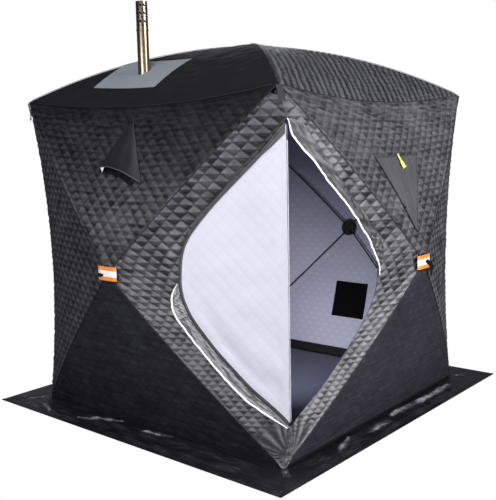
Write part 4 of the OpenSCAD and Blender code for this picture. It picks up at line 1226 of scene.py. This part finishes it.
o = shell("stove_jack_patch", [on_roof(*line.T), on_roof(*circle(pipe_at[:2], JACK_HOLE).T)], ROOF_3D, patch_face(1),
          patch_face(0), [JACK, JACK], 3, 2, hollow=UNDER_ROOF)
finish_panel(o, "stove_jack", (0.48, 0.30), 0.128, rests=("front_roof_panel",), slot="jack_cloth")


# Pull loops and tails on the hub straps, by place across and height
def loop_strap(name, line, half, q):
    p = smooth_line(line, 36)
    side = unit(np.cross(unit(np.gradient(p, axis=0)), OUT)) * half
    o = ribbon(name, turn(p - side, q), turn(p + side, q), turn(OUT, q), 0.0025, LOOP, 5, 0.4, 0.0015, 191)
    placed(o, "webbing")
    float(arc_len(p))


FRONT_LOOPS = {"loop": [[-0.056, 0.866], [-0.044, 0.873], [-0.032, 0.876], [-0.020, 0.871]],
               "tail": [[-0.050, 0.878], [-0.040, 0.870], [-0.030, 0.868]]}
OTHER_LOOPS = {"loop": [[0.010, 0.884], [0.040, 0.872], [0.080, 0.852], [0.125, 0.826]],
               "tail": [[0.020, 0.880], [0.048, 0.862], [0.072, 0.832], [0.088, 0.796]]}
y = float(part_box("pull_straps")[0].y)
for q, side in enumerate(SIDES):
    for kind, line in (FRONT_LOOPS if q == 0 else OTHER_LOOPS).items():
        out = -0.004 - 0.008 * np.sin(np.linspace(0, math.pi, len(line)))
        loop_strap(f"pull_{kind}_{side}", [[x, y + o + 0.15 * max(x, 0), z] for (x, z), o in zip(line, out)],
                   0.006 if q == 0 else 0.009, q)

# CAD pieces that keep their own shape
for nodes, mat in [
    (["wall_hubs", "roof_hub", "eave_sockets", "ground_sockets"], MOULDED),
    (["wall_poles", "roof_poles"], ROD),
    (["stove_pipe", "pipe_cap"], STEEL),
    (["eave_ring", "stake_eyelets"], BRIGHT),
    (["eave_tabs", "stake_tabs"], WEBBING),
    (["storage_pocket"], POCKET),
    (["pull_straps"], STRAP),
]:
    for node in nodes:
        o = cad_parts[node]
        o.data.materials.clear()
        o.data.materials.append(mat)

# Fold that joins the two door halves, on the hinge's axis, with a dark head
axis = leaf_axes(1)[0] + np.array([0.002034, -0.001952, -0.000045])


def fold_line(start, end, steps):
    return axis + FOLD_DIR * np.linspace(start, end, steps)[:, None]


cords("door_fold_cloth", [fold_line(0.03, FOLD_LEN - 0.095, 60)], FOLD_R, WHITE, 10, "white_lining", "door_fold")
cords("door_fold_head", [fold_line(FOLD_LEN - 0.094, FOLD_LEN - 0.03, 20)], FOLD_R, BINDING, 10, "webbing")


# Stage: white floor and background to the camera, plain light on the hut
def staged(name, half, z, mat):
    mesh = bpy.data.meshes.new(name)
    mesh.from_pydata([(-half, -half, z), (half, -half, z), (half, half, z), (-half, half, z)], [], [(0, 1, 2, 3)])
    mesh.materials.append(mat)
    o = bpy.data.objects.new(name, mesh)
    bpy.context.scene.collection.objects.link(o)


def seen_white(tree, output, glow, plain):
    """White to the camera, and the plain shader to all other rays."""
    ray = add(tree, "ShaderNodeLightPath").outputs["Is Camera Ray"]
    pick = add(tree, "ShaderNodeMixShader")
    white = add(tree, glow, Color=(1, 1, 1, 1), Strength=1.0)
    for socket, source in zip(pick.inputs, (ray, plain.outputs[0], white.outputs[0])):
        tree.links.new(source, socket)
    add(tree, output, Surface=pick.outputs[0])


m, t, _ = material("floor_white")
t.nodes.clear()
seen_white(t, "ShaderNodeOutputMaterial", "ShaderNodeEmission",
           add(t, "ShaderNodeBsdfDiffuse", Color=(0.10, 0.10, 0.11, 1)))
staged("floor", 30, 0, m)
# Darker blue floor inside the hut: painted shade where the white floor lies in the hut's shadow
m, t, b = material("floor_shade")
shade = ramp(t, noise(t, 1.5, 3.0), [(0.3, (0.12, 0.125, 0.18)), (0.7, (0.145, 0.15, 0.21))])
wire(b, Base_Color=shade, Roughness=0.7)
staged("floor_inside", BASE_HALF - 0.027, 0.0006, m)

world = bpy.data.worlds.new("studio")
bpy.context.scene.world = world
world.use_nodes = True
t = world.node_tree
t.nodes.clear()
part = add(t, "ShaderNodeSeparateXYZ", Vector=add(t, "ShaderNodeTexCoord").outputs["Generated"])
sky = ramp(t, part.outputs["Z"], [(0.0, (0.13, 0.125, 0.17)), (0.3, (0.25, 0.25, 0.30)), (0.9, (0.6, 0.6, 0.65))])
seen_white(t, "ShaderNodeOutputWorld", "ShaderNodeBackground",
           add(t, "ShaderNodeBackground", Color=sky, Strength=0.55))


def lamp(name, at, aim, size, watts, colour=(1, 1, 1), spread=180):
    d = bpy.data.lights.new(name, "AREA")
    d.shape = "RECTANGLE"
    d.size, d.size_y = size
    d.energy = watts
    d.spread = math.radians(spread)
    d.color = colour
    o = bpy.data.objects.new(name, d)
    o.location = at
    o.rotation_mode = "QUATERNION"
    o.rotation_quaternion = (Vector(aim) - Vector(at)).to_track_quat("-Z", "Y")
    bpy.context.scene.collection.objects.link(o)
    o.visible_camera = False


lamp("front_low", (0.5, -3.6, 1.7), (0.1, -1.0, 0.9), (1.6, 1.2), 66)
lamp("top_front", (1.2, -3.0, 5.2), (0.4, -0.8, 1.0), (1.6, 1.0), 130)
lamp("key_right", (4.6, 0.3, 3.2), (0.9, -0.1, 1.0), (1.6, 1.6), 210)
lamp("low_right", (4.2, -1.4, 0.7), (1.0, -0.6, 0.5), (1.2, 0.8), 75)
lamp("door_fill", (4.0, -3.2, 0.85), (0.8, -0.7, 0.55), (1.2, 1.2), 48)
lamp("room_fill", (0.35, -0.45, 0.36), (-0.1, 0.9, 0.20), (0.5, 0.3), 3.7, (0.92, 0.93, 1.0), 80)
lamp("back_fill", (-3.6, 3.8, 3.0), (0.0, 0.0, 0.9), (2.2, 2.0), 90)

# Camera, as fitted to the photo: focal length in pixels of its longer side, and place and angles in the hut's frame
FOCAL_PX, PHOTO_PX, SENSOR = 784.05, 500, 36
CAMERA_AT = (2.97214, -3.6421, 1.52613)
YAW, PITCH, ROLL = -0.68979, -0.14142, -0.02236
cam = bpy.data.cameras.new("camera")
cam.sensor_width = SENSOR
cam.lens = FOCAL_PX / PHOTO_PX * SENSOR
co = bpy.data.objects.new("camera", cam)
bpy.context.scene.collection.objects.link(co)
ahead = Vector((math.sin(YAW) * math.cos(PITCH), math.cos(YAW) * math.cos(PITCH), math.sin(PITCH)))
right = ahead.cross(Vector((0, 0, 1))).normalized()
up = right.cross(ahead)
rolled_right = right * math.cos(ROLL) + up * math.sin(ROLL)
rolled_up = -right * math.sin(ROLL) + up * math.cos(ROLL)
co.matrix_world = Matrix.Translation(CAMERA_AT) @ Matrix((rolled_right, rolled_up, -ahead)).transposed().to_4x4()
bpy.context.scene.camera = co
bpy.context.scene.view_settings.view_transform = "Standard"
